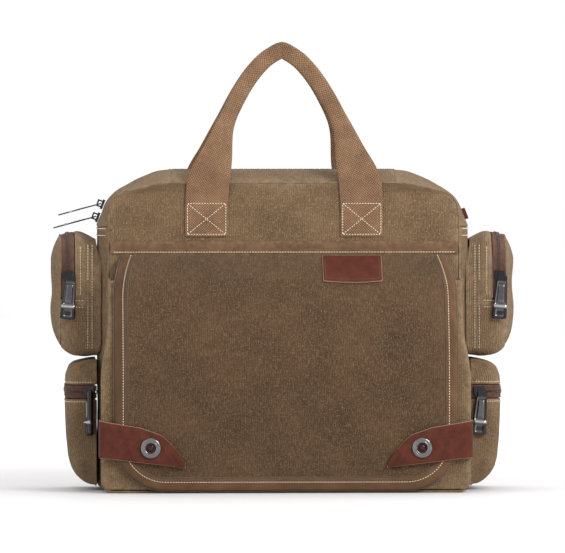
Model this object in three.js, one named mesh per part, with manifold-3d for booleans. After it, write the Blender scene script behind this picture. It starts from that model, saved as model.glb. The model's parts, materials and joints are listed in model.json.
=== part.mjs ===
// Canvas messenger bag: a zipped main compartment, a front pocket under a flap that two
// leather corner tabs hold shut, two webbing handles, and two zipped pockets on each side.
// Millimetres. +X is to the right, the front faces -Y, +Z is up and z = 0 is the floor.

import * as THREE from "three";
import { mergeVertices } from "three/addons/utils/BufferGeometryUtils.js";
import Module from "manifold-3d";

const wasm = await Module();
wasm.setup();

// ---------- Driving dimensions ----------

const GAP = 0.3; // clearance between pieces that touch
const TOTAL_DEPTH = 150; // snap rings at the front to the rear handle feet
const CANVAS = 2.5; // canvas with its lining and foam
const WEBBING = 2; // single handle webbing
const BOARD = 2; // stiffening board in the base

// Main compartment
const MAIN_DEPTH = 95;
const PANEL_HALF_WIDTH = 156;
const PANEL_TOP = 274; // seam where the panels meet the zip gusset
const SIDE_BULGE = 10; // how far the side gussets stand out beyond the panels
const TOP_CROWN = 12; // how far the zip gusset rises above the panels' top seam
const SIDE_TOP = 235; // where the side gusset ends and the zip gusset starts
const STRIP_HALF_LENGTH = 100; // straight stretch of the zip gusset that opens
const STRIP_CLEARANCE = 1.6; // room for a strip's edge to turn beside its panel
const ZIP_TAPE = 5.8; // width of one zip tape with its teeth
const ZIP_THICKNESS = 1.8;

// Front pocket and flap
const POCKET_MOUTH = 188; // height of the pocket panel's top edge
const POCKET_MOUTH_DEPTH = 20;
const POCKET_SLOPE_START = 105; // above this height the pocket gets shallower
const FLAP = 2.6;
const FLAP_STANDOFF = 3.8; // from the pocket's face to the flap's, which both slope
const FLAP_TOP = 209.5;
const FLAP_BOTTOM = 1.5;
const FLAP_HALF_WIDTH = 154;
const FLAP_CORNER = 45; // radius of the flap's two lower corners
const BINDING = 1.2;
const BINDING_WIDTH = 10.5;
const BAND_BOTTOM = 212.8; // high enough for the flap's top to turn clear below it
const BAND_HEIGHT = 9.2;
const LEATHER = 1.8;
const RING = 1.8; // thickness of a snap ring
const LABEL = { left: 35, right: 88, bottom: 186, top: 207 };
const SNAP_X = 120;
const SNAP_Z = 40;

// Handles
const HANDLE_WEBBING_WIDTH = 38;
const FOOT_X = 69;
const FOOT_BOTTOM = 226;
const FOOT_HEIGHT = 32;
const HANDLE_TOP = 400;
const GRIP_WIDTH = 13; // the webbing is folded along its middle in the grip
const GRIP_THICKNESS = 8;

// Side pockets: x is measured from the bag's middle plane, y from the pockets' own middle
const UPPER = { width: 80, bottom: 121, top: 230, outer: 207, bottomCorner: 10, topCorner: 28 };
const UPPER_LID_BOTTOM = 170;
const UPPER_GUSSET_OUTER = 186;
const LOWER = { width: 85, bottom: 4.5, top: 115, outer: 194.6, corner: 12 };
const LOWER_CAP_DROP = 5; // the cap's top slopes down outwards by this much
const LOWER_ZIP_Z = 88;
const CAP_INNER_X = 165; // the cap hinges beside the bag, so it starts clear of it
const POCKET_INNER_X = 150; // pockets reach in to here before the bag's side is cut away

// Zip sliders and pulls
const SLIDER_SIZE = 9;
const SLIDER_PLATE = 2.2;
const PULL_AXIS = 3.6; // from the tape to the pull's hinge axis
const PULL_LENGTH = 38;
const PULL_THICKNESS = 1.6;
const PULL_TOP_WIDTH = 8;
const PULL_BOTTOM_WIDTH = 13;
const UPPER_SLIDER_Z = 191;
const LOWER_SLIDER_X = 174;

// The zip gusset's crown is straight between these places, where the sliders are parked.
const RUN_TOP = { x: 157.6, z: 256 };
const RUN_BOTTOM = { x: 161.4, z: 246 };
const MAIN_SLIDER_OFF = 0.9; // off the straight run, clear of the curved crown
const FIRST_SLIDER_Z = 253.5;
const SECOND_SLIDER_Z = 242;
const MAIN_PULL_HANG = 54; // degrees off the run
const END_TAB_Z = 245;

// ---------- Derived places ----------

const BACK_Y = TOTAL_DEPTH / 2 - WEBBING - GAP; // outer face of the back panel
const FRONT_Y = BACK_Y - MAIN_DEPTH; // outer face of the front panel
const MIDDLE_Y = (FRONT_Y + BACK_Y) / 2;
const GUSSET_FRONT_Y = FRONT_Y + CANVAS + GAP;
const GUSSET_DEPTH = MAIN_DEPTH - 2 * (CANVAS + GAP);
const STACK_ON_POCKET = RING + LEATHER + BINDING + FLAP_STANDOFF + 3 * GAP;
const POCKET_FRONT_Y = -TOTAL_DEPTH / 2 + STACK_ON_POCKET;
const FLAP_HINGE_Y = FRONT_Y - GAP - FLAP / 2;
const RUN_LEAN = Math.atan2(RUN_BOTTOM.x - RUN_TOP.x, RUN_TOP.z - RUN_BOTTOM.z);

// ---------- Materials ----------

const paint = (color, roughness, metalness = 0) =>
  new THREE.MeshStandardMaterial({ color, roughness, metalness });
const canvas = paint(0x86694a, 0.95);
const flapCanvas = paint(0x6e553c, 0.95);
const twill = paint(0x7a5c42, 0.9);
const webbing = paint(0x9c7a58, 0.9);
const leather = paint(0x6b3328, 0.55);
const zipTape = paint(0x6e4a3c, 0.85);
const gunmetal = paint(0x3a3a3e, 0.3, 1);
const liningCloth = paint(0x5b5146, 0.9);
const board = paint(0x8b7b66, 0.9);

// ---------- Geometry helpers ----------

// Volume enclosed by an indexed mesh, negative when its faces point in.
function signedVolume(geometry) {
  const at = geometry.getAttribute("position");
  const index = geometry.getIndex().array;
  const [a, b, c] = [new THREE.Vector3(), new THREE.Vector3(), new THREE.Vector3()];
  let total = 0;
  for (let i = 0; i < index.length; i += 3) {
    a.fromBufferAttribute(at, index[i]);
    b.fromBufferAttribute(at, index[i + 1]);
    c.fromBufferAttribute(at, index[i + 2]);
    total += a.dot(b.cross(c)) / 6;
  }
  return total;
}

// Merges shared vertices and turns the faces out, so that mirrored pieces are right too.
function solid(source) {
  source.deleteAttribute("normal");
  source.deleteAttribute("uv");
  const geometry = mergeVertices(source, 1e-4);
  if (signedVolume(geometry) < 0) {
    geometry.getIndex().array.reverse();
  }
  return geometry;
}

// A closed body through rings of points. A ring's first half and its second half, read
// backwards, are the two long sides of its section, so the ends are closed by ladders.
function loft(rings) {
  const count = rings[0].length;
  const half = count / 2;
  const points = rings.flat();
  const index = [];
  const quad = (a, b, c, d) => index.push(a, b, c, a, c, d);
  for (let r = 0; r + 1 < rings.length; r++) {
    for (let k = 0; k < count; k++) {
      const next = (k + 1) % count;
      const here = r * count;
      const there = here + count;
      quad(here + k, here + next, there + next, there + k);
    }
  }
  for (let k = 0; k + 1 < half; k++) {
    const last = (rings.length - 1) * count;
    quad(count - 1 - k, count - 2 - k, k + 1, k);
    quad(last + k, last + k + 1, last + count - 2 - k, last + count - 1 - k);
  }
  const geometry = new THREE.BufferGeometry().setFromPoints(points);
  geometry.setIndex(index);
  return solid(geometry);
}

// A sheet of even thickness behind the surface point(u, v), with u and v from 0 to 1.
// The thickness lies against the surface's normal, du x dv, times the given side.
function sheet(point, thickness, uSteps, vSteps, side = 1) {
  const step = 1e-3;
  const behind = (u, v) => {
    const u0 = Math.max(0, u - step);
    const v0 = Math.max(0, v - step);
    const du = point(Math.min(1, u + step), v).sub(point(u0, v));
    const dv = point(u, Math.min(1, v + step)).sub(point(u, v0));
    const normal = du.cross(dv).normalize();
    return point(u, v).addScaledVector(normal, -side * thickness);
  };
  const rings = [];
  for (let i = 0; i <= uSteps; i++) {
    const front = [];
    const back = [];
    for (let j = 0; j <= vSteps; j++) {
      front.push(point(i / uSteps, j / vSteps));
      back.unshift(behind(i / uSteps, j / vSteps));
    }
    rings.push([...front, ...back]);
  }
  return loft(rings);
}

const extrude = (shape, depth, curveSegments = 6) =>
  new THREE.ExtrudeGeometry(shape, { depth, bevelEnabled: false, curveSegments });

// A shape drawn in x and z, standing upright from y to y + thickness.
const uprightPlate = (shape, y, thickness) =>
  solid(extrude(shape, thickness).rotateX(Math.PI / 2).translate(0, y + thickness, 0));

// A shape drawn in y and z, extruded along x from one place to another.
function sidePlate(shape, fromX, toX, curveSegments = 6) {
  const turn = new THREE.Matrix4().makeBasis(
    new THREE.Vector3(0, 1, 0),
    new THREE.Vector3(0, 0, 1),
    new THREE.Vector3(1, 0, 0),
  );
  const geometry = extrude(shape, Math.abs(toX - fromX), curveSegments).applyMatrix4(turn);
  return solid(geometry.translate(Math.min(fromX, toX), 0, 0));
}

// A shape drawn in x and y, extruded up from z.
const flatPlate = (shape, z, thickness) => solid(extrude(shape, thickness).translate(0, 0, z));

function block(x0, x1, y0, y1, z0, z1) {
  const geometry = new THREE.BoxGeometry(x1 - x0, y1 - y0, z1 - z0);
  return solid(geometry.translate((x0 + x1) / 2, (y0 + y1) / 2, (z0 + z1) / 2));
}

function toManifold(geometry) {
  const vertProperties = new Float32Array(geometry.getAttribute("position").array);
  const triVerts = new Uint32Array(geometry.getIndex().array);
  return new wasm.Manifold(new wasm.Mesh({ numProp: 3, vertProperties, triVerts }));
}

function fromManifold(manifold) {
  const mesh = manifold.getMesh();
  const geometry = new THREE.BufferGeometry();
  geometry.setAttribute("position", new THREE.BufferAttribute(mesh.vertProperties, 3));
  geometry.setIndex(new THREE.BufferAttribute(mesh.triVerts, 1));
  return geometry;
}

const combine = (operation) => (first, ...others) =>
  fromManifold(
    others.reduce((result, other) => result[operation](toManifold(other)), toManifold(first)),
  );
const join = combine("add");
const cut = combine("subtract");
const common = combine("intersect");

const mirrored = (geometry) => solid(geometry.clone().scale(-1, 1, 1));
const onSide = (side, geometry) => (side < 0 ? mirrored(geometry) : geometry);

// From 0 to 1 with level ends, as value goes from start to end.
const blend = (value, start, end) => THREE.MathUtils.smoothstep(value, start, end);
const mix = THREE.MathUtils.lerp;
// The same without level ends.
const ramp = (value, start, end) => THREE.MathUtils.clamp((value - start) / (end - start), 0, 1);

function piece(parent, name, geometry, material) {
  const mesh = new THREE.Mesh(geometry, material);
  mesh.name = name;
  parent.add(mesh);
  return mesh;
}

// A rectangle with round corners: bottom and top radii may differ.
function roundedRectangle(left, right, bottom, top, bottomRadius, topRadius) {
  const shape = new THREE.Shape();
  const quarter = Math.PI / 2;
  shape.absarc(right - bottomRadius, bottom + bottomRadius, bottomRadius, -quarter, 0, false);
  shape.absarc(right - topRadius, top - topRadius, topRadius, 0, quarter, false);
  shape.absarc(left + topRadius, top - topRadius, topRadius, quarter, 2 * quarter, false);
  shape.absarc(left + bottomRadius, bottom + bottomRadius, bottomRadius, -2 * quarter, -quarter, false);
  shape.closePath();
  return shape;
}

// ---------- Outlines of the main compartment ----------

// The right end of the panels' top edge, and of the zip gusset's crown above it.
const edgeCorner = new THREE.SplineCurve([
  new THREE.Vector2(STRIP_HALF_LENGTH, PANEL_TOP),
  new THREE.Vector2(126, 269.5),
  new THREE.Vector2(143, 265.5),
  new THREE.Vector2(152, 259),
  new THREE.Vector2(155.4, 248),
  new THREE.Vector2(PANEL_HALF_WIDTH, SIDE_TOP),
]);
const crownCorner = new THREE.SplineCurve([
  new THREE.Vector2(STRIP_HALF_LENGTH, PANEL_TOP + TOP_CROWN),
  new THREE.Vector2(128, 278.5),
  new THREE.Vector2(148, 267.5),
  new THREE.Vector2(RUN_TOP.x, RUN_TOP.z),
  new THREE.Vector2(RUN_BOTTOM.x, RUN_BOTTOM.z),
  new THREE.Vector2(PANEL_HALF_WIDTH + SIDE_BULGE, SIDE_TOP),
]);

// How far a gusset stands out across the bag's depth, from 0 at its seams to 1 between them.
const archAcross = (v) => 1 - (2 * v - 1) ** 2;
const flatArchAcross = (v) => 1 - (2 * v - 1) ** 6;

function panelShape() {
  const corner = edgeCorner.getPoints(8);
  const bottom = CANVAS + GAP;
  const shape = new THREE.Shape();
  shape.moveTo(-PANEL_HALF_WIDTH + 8, bottom);
  shape.lineTo(PANEL_HALF_WIDTH - 8, bottom);
  shape.lineTo(PANEL_HALF_WIDTH, bottom + 8);
  [...corner].reverse().forEach((p) => shape.lineTo(p.x, p.y));
  corner.forEach((p) => shape.lineTo(-p.x, p.y));
  shape.lineTo(-PANEL_HALF_WIDTH, bottom + 8);
  shape.closePath();
  return shape;
}

// ---------- Main compartment ----------

function mainCompartment(parent) {
  piece(parent, "main_front_panel", uprightPlate(panelShape(), FRONT_Y, CANVAS), canvas);
  piece(parent, "main_back_panel", uprightPlate(panelShape(), BACK_Y - CANVAS, CANVAS), canvas);
  const base = roundedRectangle(-PANEL_HALF_WIDTH + 2, PANEL_HALF_WIDTH - 2, FRONT_Y, BACK_Y, 8, 8);
  piece(parent, "base_gusset", flatPlate(base, 0, CANVAS), canvas);
  for (const side of [-1, 1]) {
    const name = side < 0 ? "left" : "right";
    piece(parent, `side_gusset_${name}`, sideGusset(side), canvas);
    piece(parent, `zip_gusset_corner_${name}`, zipGussetCorner(side), canvas);
  }
  const boardInset = 8;
  const boardFront = GUSSET_FRONT_Y + 1;
  piece(
    parent,
    "base_board",
    block(
      boardInset - PANEL_HALF_WIDTH,
      PANEL_HALF_WIDTH - boardInset,
      boardFront,
      boardFront + GUSSET_DEPTH - 2,
      CANVAS + GAP,
      CANVAS + GAP + BOARD,
    ),
    board,
  );
  piece(parent, "main_lining", lining(), liningCloth);
}

function sideGusset(side) {
  const bottom = CANVAS + 2 * GAP;
  const surface = (u, v) =>
    new THREE.Vector3(
      side * (PANEL_HALF_WIDTH + SIDE_BULGE * flatArchAcross(v)),
      GUSSET_FRONT_Y + GUSSET_DEPTH * v,
      mix(bottom, SIDE_TOP - 5 * GAP, u),
    );
  return sheet(surface, CANVAS, 1, 14, -side);
}

function zipGussetCorner(side) {
  const surface = (u, v) => {
    const edge = edgeCorner.getPoint(mix(0.004, 1, u));
    const crown = crownCorner.getPoint(mix(0.004, 1, u));
    const flatness = blend(u, 0.55, 1);
    const arch = mix(archAcross(v), flatArchAcross(v), flatness);
    return new THREE.Vector3(
      side * mix(edge.x, crown.x, arch),
      GUSSET_FRONT_Y + GUSSET_DEPTH * v,
      mix(edge.y, crown.y, arch),
    );
  };
  return sheet(surface, CANVAS, 12, 12, side);
}

// A cloth tray with thin walls, open at the top, just inside the panels and gussets.
function lining() {
  const wall = 1;
  const x = PANEL_HALF_WIDTH - 9;
  const y0 = GUSSET_FRONT_Y + 0.6;
  const y1 = y0 + GUSSET_DEPTH - 1.2;
  const z = CANVAS + BOARD + 2 * GAP;
  const top = 250;
  return cut(
    block(-x, x, y0, y1, z, top),
    block(wall - x, x - wall, y0 + wall, y1 - wall, z + wall, top + 10),
  );
}

// The straight stretch of the zip gusset: two strips with a zip tape along each free edge.
function zipTop(parent) {
  const start = GUSSET_FRONT_Y - GAP + STRIP_CLEARANCE;
  const heightAt = (y) => PANEL_TOP + TOP_CROWN * archAcross((y - GUSSET_FRONT_Y) / GUSSET_DEPTH);
  const tapeEdge = MIDDLE_Y - GAP / 2;
  const stripEdge = tapeEdge - ZIP_TAPE - GAP;
  const across = (from, to, drop) => (u, v) => {
    const y = mix(from, to, v);
    const x = mix(-1, 1, u) * (STRIP_HALF_LENGTH - 4 * GAP);
    return new THREE.Vector3(x, y, heightAt(y) - drop);
  };
  const strip = sheet(across(start, stripEdge, 0), CANVAS, 1, 6);
  const tape = sheet(across(stripEdge + GAP, tapeEdge, 0.4), ZIP_THICKNESS, 1, 2);
  const toRear = (geometry) => solid(geometry.clone().scale(1, -1, 1).translate(0, 2 * MIDDLE_Y, 0));
  piece(parent, "zip_strip_front", strip, canvas);
  piece(parent, "main_zip_front", tape, zipTape);
  piece(parent, "zip_strip_rear", toRear(strip), canvas);
  piece(parent, "main_zip_rear", toRear(tape), zipTape);
}

// ---------- Front pocket, band and flap ----------

// Front face of the pocket panel at a height: deep below, and shallower towards the mouth.
const pocketFace = (z) =>
  mix(POCKET_FRONT_Y, FRONT_Y - POCKET_MOUTH_DEPTH, ramp(z, POCKET_SLOPE_START, POCKET_MOUTH) ** 1.6);
const pocketHalfWidth = (z) => mix(163.5, 157, blend(z, 100, 150));

function frontPocket(parent) {
  const bottom = CANVAS + GAP;
  const panel = (u, v) => {
    const z = mix(bottom, POCKET_MOUTH, v);
    const x = mix(-1, 1, u) * (pocketHalfWidth(z) - 6 * blend(-z, -14, -bottom));
    return new THREE.Vector3(x, pocketFace(z), z);
  };
  piece(parent, "front_pocket_panel", sheet(panel, CANVAS, 1, 12), canvas);

  const corner = 10;
  const side = POCKET_MOUTH - corner;
  const floorRun = 2 * (pocketHalfWidth(0) - corner);
  const total = 2 * side + 2 * corner + floorRun;
  // Runs down one side, round under the pocket and up the other.
  const rim = (u) => {
    const s = u * total;
    const half = Math.min(s, total - s);
    const z = half < side ? POCKET_MOUTH - half : 0;
    if (half < side) {
      return new THREE.Vector2(pocketHalfWidth(z), z);
    }
    const turn = Math.min(1, (half - side) / corner);
    const angle = (turn * Math.PI) / 2;
    const beyond = Math.max(0, half - side - corner);
    return new THREE.Vector2(
      pocketHalfWidth(0) - corner * (1 - Math.cos(angle)) - beyond,
      corner * (1 - Math.sin(angle)),
    );
  };
  const gusset = (u, v) => {
    const at = rim(u);
    const y = mix(pocketFace(at.y) + CANVAS + 4 * GAP, FRONT_Y - GAP, v);
    return new THREE.Vector3(u < 0.5 ? -at.x : at.x, y, at.y);
  };
  piece(parent, "front_pocket_gusset", sheet(gusset, CANVAS, 48, 1, -1), canvas);
  piece(
    parent,
    "top_band",
    block(
      1 - PANEL_HALF_WIDTH,
      PANEL_HALF_WIDTH - 1,
      FRONT_Y - GAP - CANVAS,
      FRONT_Y - GAP,
      BAND_BOTTOM,
      BAND_BOTTOM + BAND_HEIGHT,
    ),
    twill,
  );
}

// Front face of the flap at a height: it slopes out from its hinge to lie on the pocket.
function flapFace(z) {
  const onPocket = pocketFace(Math.min(z, POCKET_MOUTH)) - FLAP_STANDOFF;
  const atHinge = FLAP_HINGE_Y - FLAP / 2;
  return z < POCKET_MOUTH ? onPocket : mix(onPocket, atHinge, (z - POCKET_MOUTH) / (FLAP_TOP - POCKET_MOUTH));
}

// Front face of something of the given thickness that lies on the flap at a height.
function onFlap(z, thickness) {
  const step = 2;
  const slope = (flapFace(Math.min(z + step, FLAP_TOP)) - flapFace(z - step)) / (2 * step);
  const clearance = mix(GAP, 4 * GAP, ramp(z, 150, 180));
  return flapFace(z) - clearance - thickness * Math.sqrt(1 + slope ** 2);
}

// Half width of the flap, less an inset from its edge all round.
function flapHalfWidth(z, inset) {
  const above = z - FLAP_BOTTOM - inset;
  const radius = FLAP_CORNER - inset;
  const width = FLAP_HALF_WIDTH - inset;
  if (above >= radius) {
    return width;
  }
  const rise = radius - Math.max(0, above);
  return width - radius + Math.sqrt(radius ** 2 - rise ** 2);
}

// A place along the flap's edge, at an inset: down the left, round the bottom, up the right.
function flapEdge(u, inset) {
  const radius = FLAP_CORNER - inset;
  const side = FLAP_TOP - FLAP_BOTTOM - FLAP_CORNER;
  const across = 2 * (FLAP_HALF_WIDTH - FLAP_CORNER);
  const turn = (FLAP_CORNER * Math.PI) / 2;
  const total = 2 * side + 2 * turn + across;
  const s = Math.min(u, 1 - u) * total;
  const sign = u < 0.5 ? -1 : 1;
  if (s < side) {
    return [sign * (FLAP_HALF_WIDTH - inset), FLAP_TOP - s];
  }
  const angle = Math.min(1, (s - side) / turn) * (Math.PI / 2);
  const beyond = Math.max(0, s - side - turn);
  return [
    sign * (FLAP_HALF_WIDTH - FLAP_CORNER + radius * Math.cos(angle) - beyond),
    FLAP_BOTTOM + FLAP_CORNER - radius * Math.sin(angle),
  ];
}

function flap(parent) {
  const rows = (v) => mix(FLAP_TOP, FLAP_BOTTOM, 1 - (1 - v) ** 1.35);
  const face = (u, v) => {
    const z = rows(v);
    return new THREE.Vector3(mix(1, -1, u) * flapHalfWidth(z, 0), flapFace(z), z);
  };
  piece(parent, "flap", sheet(face, FLAP, 2, 26), flapCanvas);

  const bindingFace = (u, v) => {
    const [x, z] = flapEdge(mix(0.012, 0.988, u), v * BINDING_WIDTH);
    return new THREE.Vector3(x, onFlap(z, BINDING), z);
  };
  piece(parent, "flap_binding", sheet(bindingFace, BINDING, 52, 1), twill);

  const labelFace = (u, v) => {
    const z = mix(LABEL.bottom, LABEL.top, v);
    return new THREE.Vector3(mix(LABEL.left, LABEL.right, u), onFlap(z, LEATHER), z);
  };
  piece(parent, "flap_label", sheet(labelFace, LEATHER, 1, 6), leather);
}

// ---------- Leather corner tabs with their snaps ----------

// The tab's face runs from its seam in the pocket's side, round the corner and over the flap.
function cornerTab(parent, side) {
  const name = side < 0 ? "left" : "right";
  const frontY = pocketFace(SNAP_Z) - FLAP_STANDOFF - BINDING - LEATHER - 2 * GAP;
  const outerX = pocketHalfWidth(SNAP_Z) + GAP + LEATHER;
  const seamY = frontY + 26;
  const tipX = 90;
  const turn = 6; // radius of the fold round the pocket's side
  const sideRun = seamY - frontY - turn;
  const frontRun = outerX - turn - tipX;
  const cornerRun = (turn * Math.PI) / 2;
  const total = sideRun + cornerRun + frontRun;
  const place = (s) => {
    if (s < sideRun) {
      return [outerX, seamY - s];
    }
    const angle = Math.min(1, (s - sideRun) / cornerRun) * (Math.PI / 2);
    const beyond = Math.max(0, s - sideRun - cornerRun);
    return [
      outerX - turn + turn * Math.cos(angle) - beyond,
      frontY + turn - turn * Math.sin(angle),
    ];
  };
  // Upper and lower edges: level at the side, closing to a rounded tip low on the flap.
  const topAt = (x) => mix(24, 64, Math.sqrt(Math.max(0, ramp(x, tipX, 150))));
  const bottomAt = (x) => mix(21.5, 29.5, ramp(x, tipX, 125));
  const face = (u, v) => {
    const [x, y] = place(u * total);
    return new THREE.Vector3(side * x, y, mix(bottomAt(x), topAt(x), v));
  };
  const body = sheet(face, LEATHER, 24, 3, -side);
  const hole = new THREE.CylinderGeometry(4.6, 4.6, 12, 20).translate(side * SNAP_X, frontY, SNAP_Z);
  piece(parent, `corner_tab_${name}`, cut(body, solid(hole)), leather);

  const ringSection = [
    new THREE.Vector2(4.6, 0),
    new THREE.Vector2(8.2, 0),
    new THREE.Vector2(8.8, 0.7),
    new THREE.Vector2(7.8, RING),
    new THREE.Vector2(5.4, RING),
    new THREE.Vector2(4.6, 1),
    new THREE.Vector2(4.6, 0),
  ];
  const ring = piece(parent, `snap_ring_${name}`, solid(new THREE.LatheGeometry(ringSection, 24)), gunmetal);
  ring.rotation.x = Math.PI;
  ring.position.set(side * SNAP_X, frontY - GAP, SNAP_Z);
}

// The flap's half of each snap: a base disc with a round-headed stud.
function snapStud(parent, side) {
  const base = flapFace(SNAP_Z) - GAP;
  const section = [
    new THREE.Vector2(0, 0),
    new THREE.Vector2(5.6, 0),
    new THREE.Vector2(5.6, 0.8),
    new THREE.Vector2(2, 1),
    new THREE.Vector2(2, 2.6),
    new THREE.Vector2(2.8, 3.3),
    new THREE.Vector2(2.2, 4.3),
    new THREE.Vector2(0, 4.7),
  ];
  const name = side < 0 ? "left" : "right";
  const stud = piece(parent, `snap_stud_${name}`, solid(new THREE.LatheGeometry(section, 20)), gunmetal);
  stud.rotation.x = Math.PI;
  stud.position.set(side * SNAP_X, base, SNAP_Z);
}

// ---------- Handles ----------

// The right half of the front handle, seen from the front.
const handleRise = new THREE.SplineCurve([
  new THREE.Vector2(FOOT_X, FOOT_BOTTOM + FOOT_HEIGHT + 0.8),
  new THREE.Vector2(66.5, 276),
  new THREE.Vector2(60.5, 294),
  new THREE.Vector2(51, 327),
  new THREE.Vector2(34, 360),
  new THREE.Vector2(17, 382),
  new THREE.Vector2(0, HANDLE_TOP - GRIP_WIDTH / 2 - 0.2),
]);

function handle() {
  const steps = 24;
  const footY = FRONT_Y - GAP - WEBBING / 2;
  const gripY = MIDDLE_Y - 1.2 - GRIP_THICKNESS / 2;
  const rings = [];
  for (let i = 0; i <= 2 * steps; i++) {
    const side = i <= steps ? 1 : -1;
    const t = i <= steps ? i / steps : 2 - i / steps;
    const at = handleRise.getPoint(t);
    const along = handleRise.getTangent(Math.min(t, 0.999));
    const inward = new THREE.Vector2(-along.y, along.x);
    if (i === steps) {
      inward.set(0, -1);
    }
    if (t === 0) {
      inward.set(-1, 0);
    }
    const lean = blend(at.y, PANEL_TOP + 3, HANDLE_TOP - 8);
    const width = mix(HANDLE_WEBBING_WIDTH, GRIP_WIDTH, blend(at.y, 262, 335)) / 2;
    const thick = mix(WEBBING, GRIP_THICKNESS, blend(at.y, 285, 340)) / 2;
    const y = mix(footY, gripY, lean);
    const corner = (w, d) =>
      new THREE.Vector3(side * (at.x + inward.x * w), y + d, at.y + inward.y * w);
    const ring = [corner(width, -thick), corner(-width, -thick), corner(-width, thick), corner(width, thick)];
    rings.push(ring);
  }
  return loft(rings);
}

function handles(parent) {
  const front = handle();
  const rear = solid(front.clone().scale(1, -1, 1).translate(0, 2 * MIDDLE_Y, 0));
  piece(parent, "handle_front", front, webbing);
  piece(parent, "handle_rear", rear, webbing);
  const half = HANDLE_WEBBING_WIDTH / 2;
  const footFaces = { front: FRONT_Y - GAP - WEBBING, rear: BACK_Y + GAP };
  for (const [place, y] of Object.entries(footFaces)) {
    for (const side of [-1, 1]) {
      const x = side * FOOT_X;
      const foot = block(x - half, x + half, y, y + WEBBING, FOOT_BOTTOM, FOOT_BOTTOM + FOOT_HEIGHT);
      piece(parent, `handle_${place}_foot_${side < 0 ? "left" : "right"}`, foot, webbing);
    }
  }
}

// ---------- Zip sliders and pulls ----------

// A slider facing -Y with its tape at y = 0: a tapered plate under an arch for the pull.
function sliderGeometry() {
  const half = SLIDER_SIZE / 2;
  const outline = new THREE.Shape([
    new THREE.Vector2(-half, half),
    new THREE.Vector2(-half, 0),
    new THREE.Vector2(1.4 - half, -half),
    new THREE.Vector2(half - 1.4, -half),
    new THREE.Vector2(half, 0),
    new THREE.Vector2(half, half),
  ]);
  const plate = uprightPlate(outline, -SLIDER_PLATE, SLIDER_PLATE);
  const archHalfWidth = 1.1;
  const archReach = -6.4;
  const arch = block(-archHalfWidth, archHalfWidth, archReach, -SLIDER_PLATE + 0.5, -3.2, 3.2);
  const window = block(-2, 2, -5, -SLIDER_PLATE + 1, -1.8, 1.8);
  return join(plate, cut(arch, cut(window, block(-3, 3, -SLIDER_PLATE, 2, -3, 3))));
}

// A pull hanging from its hinge axis at the origin: an eye that the slider's arch passes
// through, and a tapered plate with a slot. An edge-on pull has its plate turned a quarter
// about the vertical, and moved out so that the plate's near edge rests on the cloth.
function pullGeometry(edgeOn) {
  const eyeBottom = -7;
  const bar = PULL_THICKNESS / 2;
  const eye = new THREE.Shape([
    new THREE.Vector2(-PULL_TOP_WIDTH / 2, eyeBottom),
    new THREE.Vector2(PULL_TOP_WIDTH / 2, eyeBottom),
    new THREE.Vector2(PULL_TOP_WIDTH / 2, bar),
    new THREE.Vector2(-PULL_TOP_WIDTH / 2, bar),
  ]);
  eye.holes.push(
    new THREE.Path([
      new THREE.Vector2(-2.3, -5.5),
      new THREE.Vector2(-2.3, -bar),
      new THREE.Vector2(2.3, -bar),
      new THREE.Vector2(2.3, -5.5),
    ]),
  );
  const tip = -PULL_LENGTH;
  const plate = new THREE.Shape([
    new THREE.Vector2(-PULL_TOP_WIDTH / 2, eyeBottom + 0.5),
    new THREE.Vector2(-PULL_BOTTOM_WIDTH / 2, tip + 2),
    new THREE.Vector2(1.5 - PULL_BOTTOM_WIDTH / 2, tip),
    new THREE.Vector2(PULL_BOTTOM_WIDTH / 2 - 1.5, tip),
    new THREE.Vector2(PULL_BOTTOM_WIDTH / 2, tip + 2),
    new THREE.Vector2(PULL_TOP_WIDTH / 2, eyeBottom + 0.5),
  ]);
  const slot = roundedRectangle(-3.4, 3.4, tip + 3, tip + 9, 2, 2);
  plate.holes.push(new THREE.Path(slot.getPoints(3)));
  const flat = (shape) => uprightPlate(shape, -bar, PULL_THICKNESS);
  if (!edgeOn) {
    return join(flat(eye), flat(plate));
  }
  const outward = PULL_BOTTOM_WIDTH / 2 - PULL_AXIS;
  return join(flat(eye), solid(flat(plate).rotateZ(Math.PI / 2).translate(0, -outward, 0)));
}

// A slider and its pull at a place on a tape. facing turns them about the vertical, and lean
// tips the slider's run; hang is the pull's angle away from straight down along the run.
function sliderAndPull(parent, name, place, turned = {}) {
  const { facing = 0, lean = 0, hang = 0, edgeOn = false } = turned;
  const group = new THREE.Group();
  group.position.copy(place);
  group.rotation.set(lean, 0, facing, "ZYX");
  parent.add(group);
  piece(group, `${name}_slider`, sliderGeometry(), gunmetal);
  const pull = piece(group, `${name}_pull`, pullGeometry(edgeOn), gunmetal);
  pull.position.set(0, -PULL_AXIS, 0);
  pull.rotation.x = -hang;
}

// ---------- Side pockets ----------

// The bag's side with a gap over it, cut out of whatever is sewn against it.
function bagSideCutter() {
  const shape = new THREE.Shape();
  const steps = 14;
  shape.moveTo(100, GUSSET_FRONT_Y - 20);
  for (let i = 0; i <= steps; i++) {
    const v = i / steps;
    const x = PANEL_HALF_WIDTH + SIDE_BULGE * flatArchAcross(v) + GAP;
    shape.lineTo(x, GUSSET_FRONT_Y + GUSSET_DEPTH * v);
  }
  shape.lineTo(100, GUSSET_FRONT_Y + GUSSET_DEPTH + 20);
  shape.closePath();
  return flatPlate(shape, -5, 300);
}

function upperPocketOutline(inset) {
  return roundedRectangle(
    MIDDLE_Y - UPPER.width / 2 + inset,
    MIDDLE_Y + UPPER.width / 2 - inset,
    UPPER.bottom + inset,
    UPPER.top - inset,
    UPPER.bottomCorner - inset,
    UPPER.topCorner - inset,
  );
}

// The wall that follows the upper pocket's outline, from one x to another.
function upperPocketWall(fromX, toX, thickness, curveSegments = 6) {
  const outer = sidePlate(upperPocketOutline(0), fromX, toX, curveSegments);
  const inner = sidePlate(upperPocketOutline(thickness), fromX - 1, toX + 1, curveSegments);
  return cut(outer, inner);
}

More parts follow.
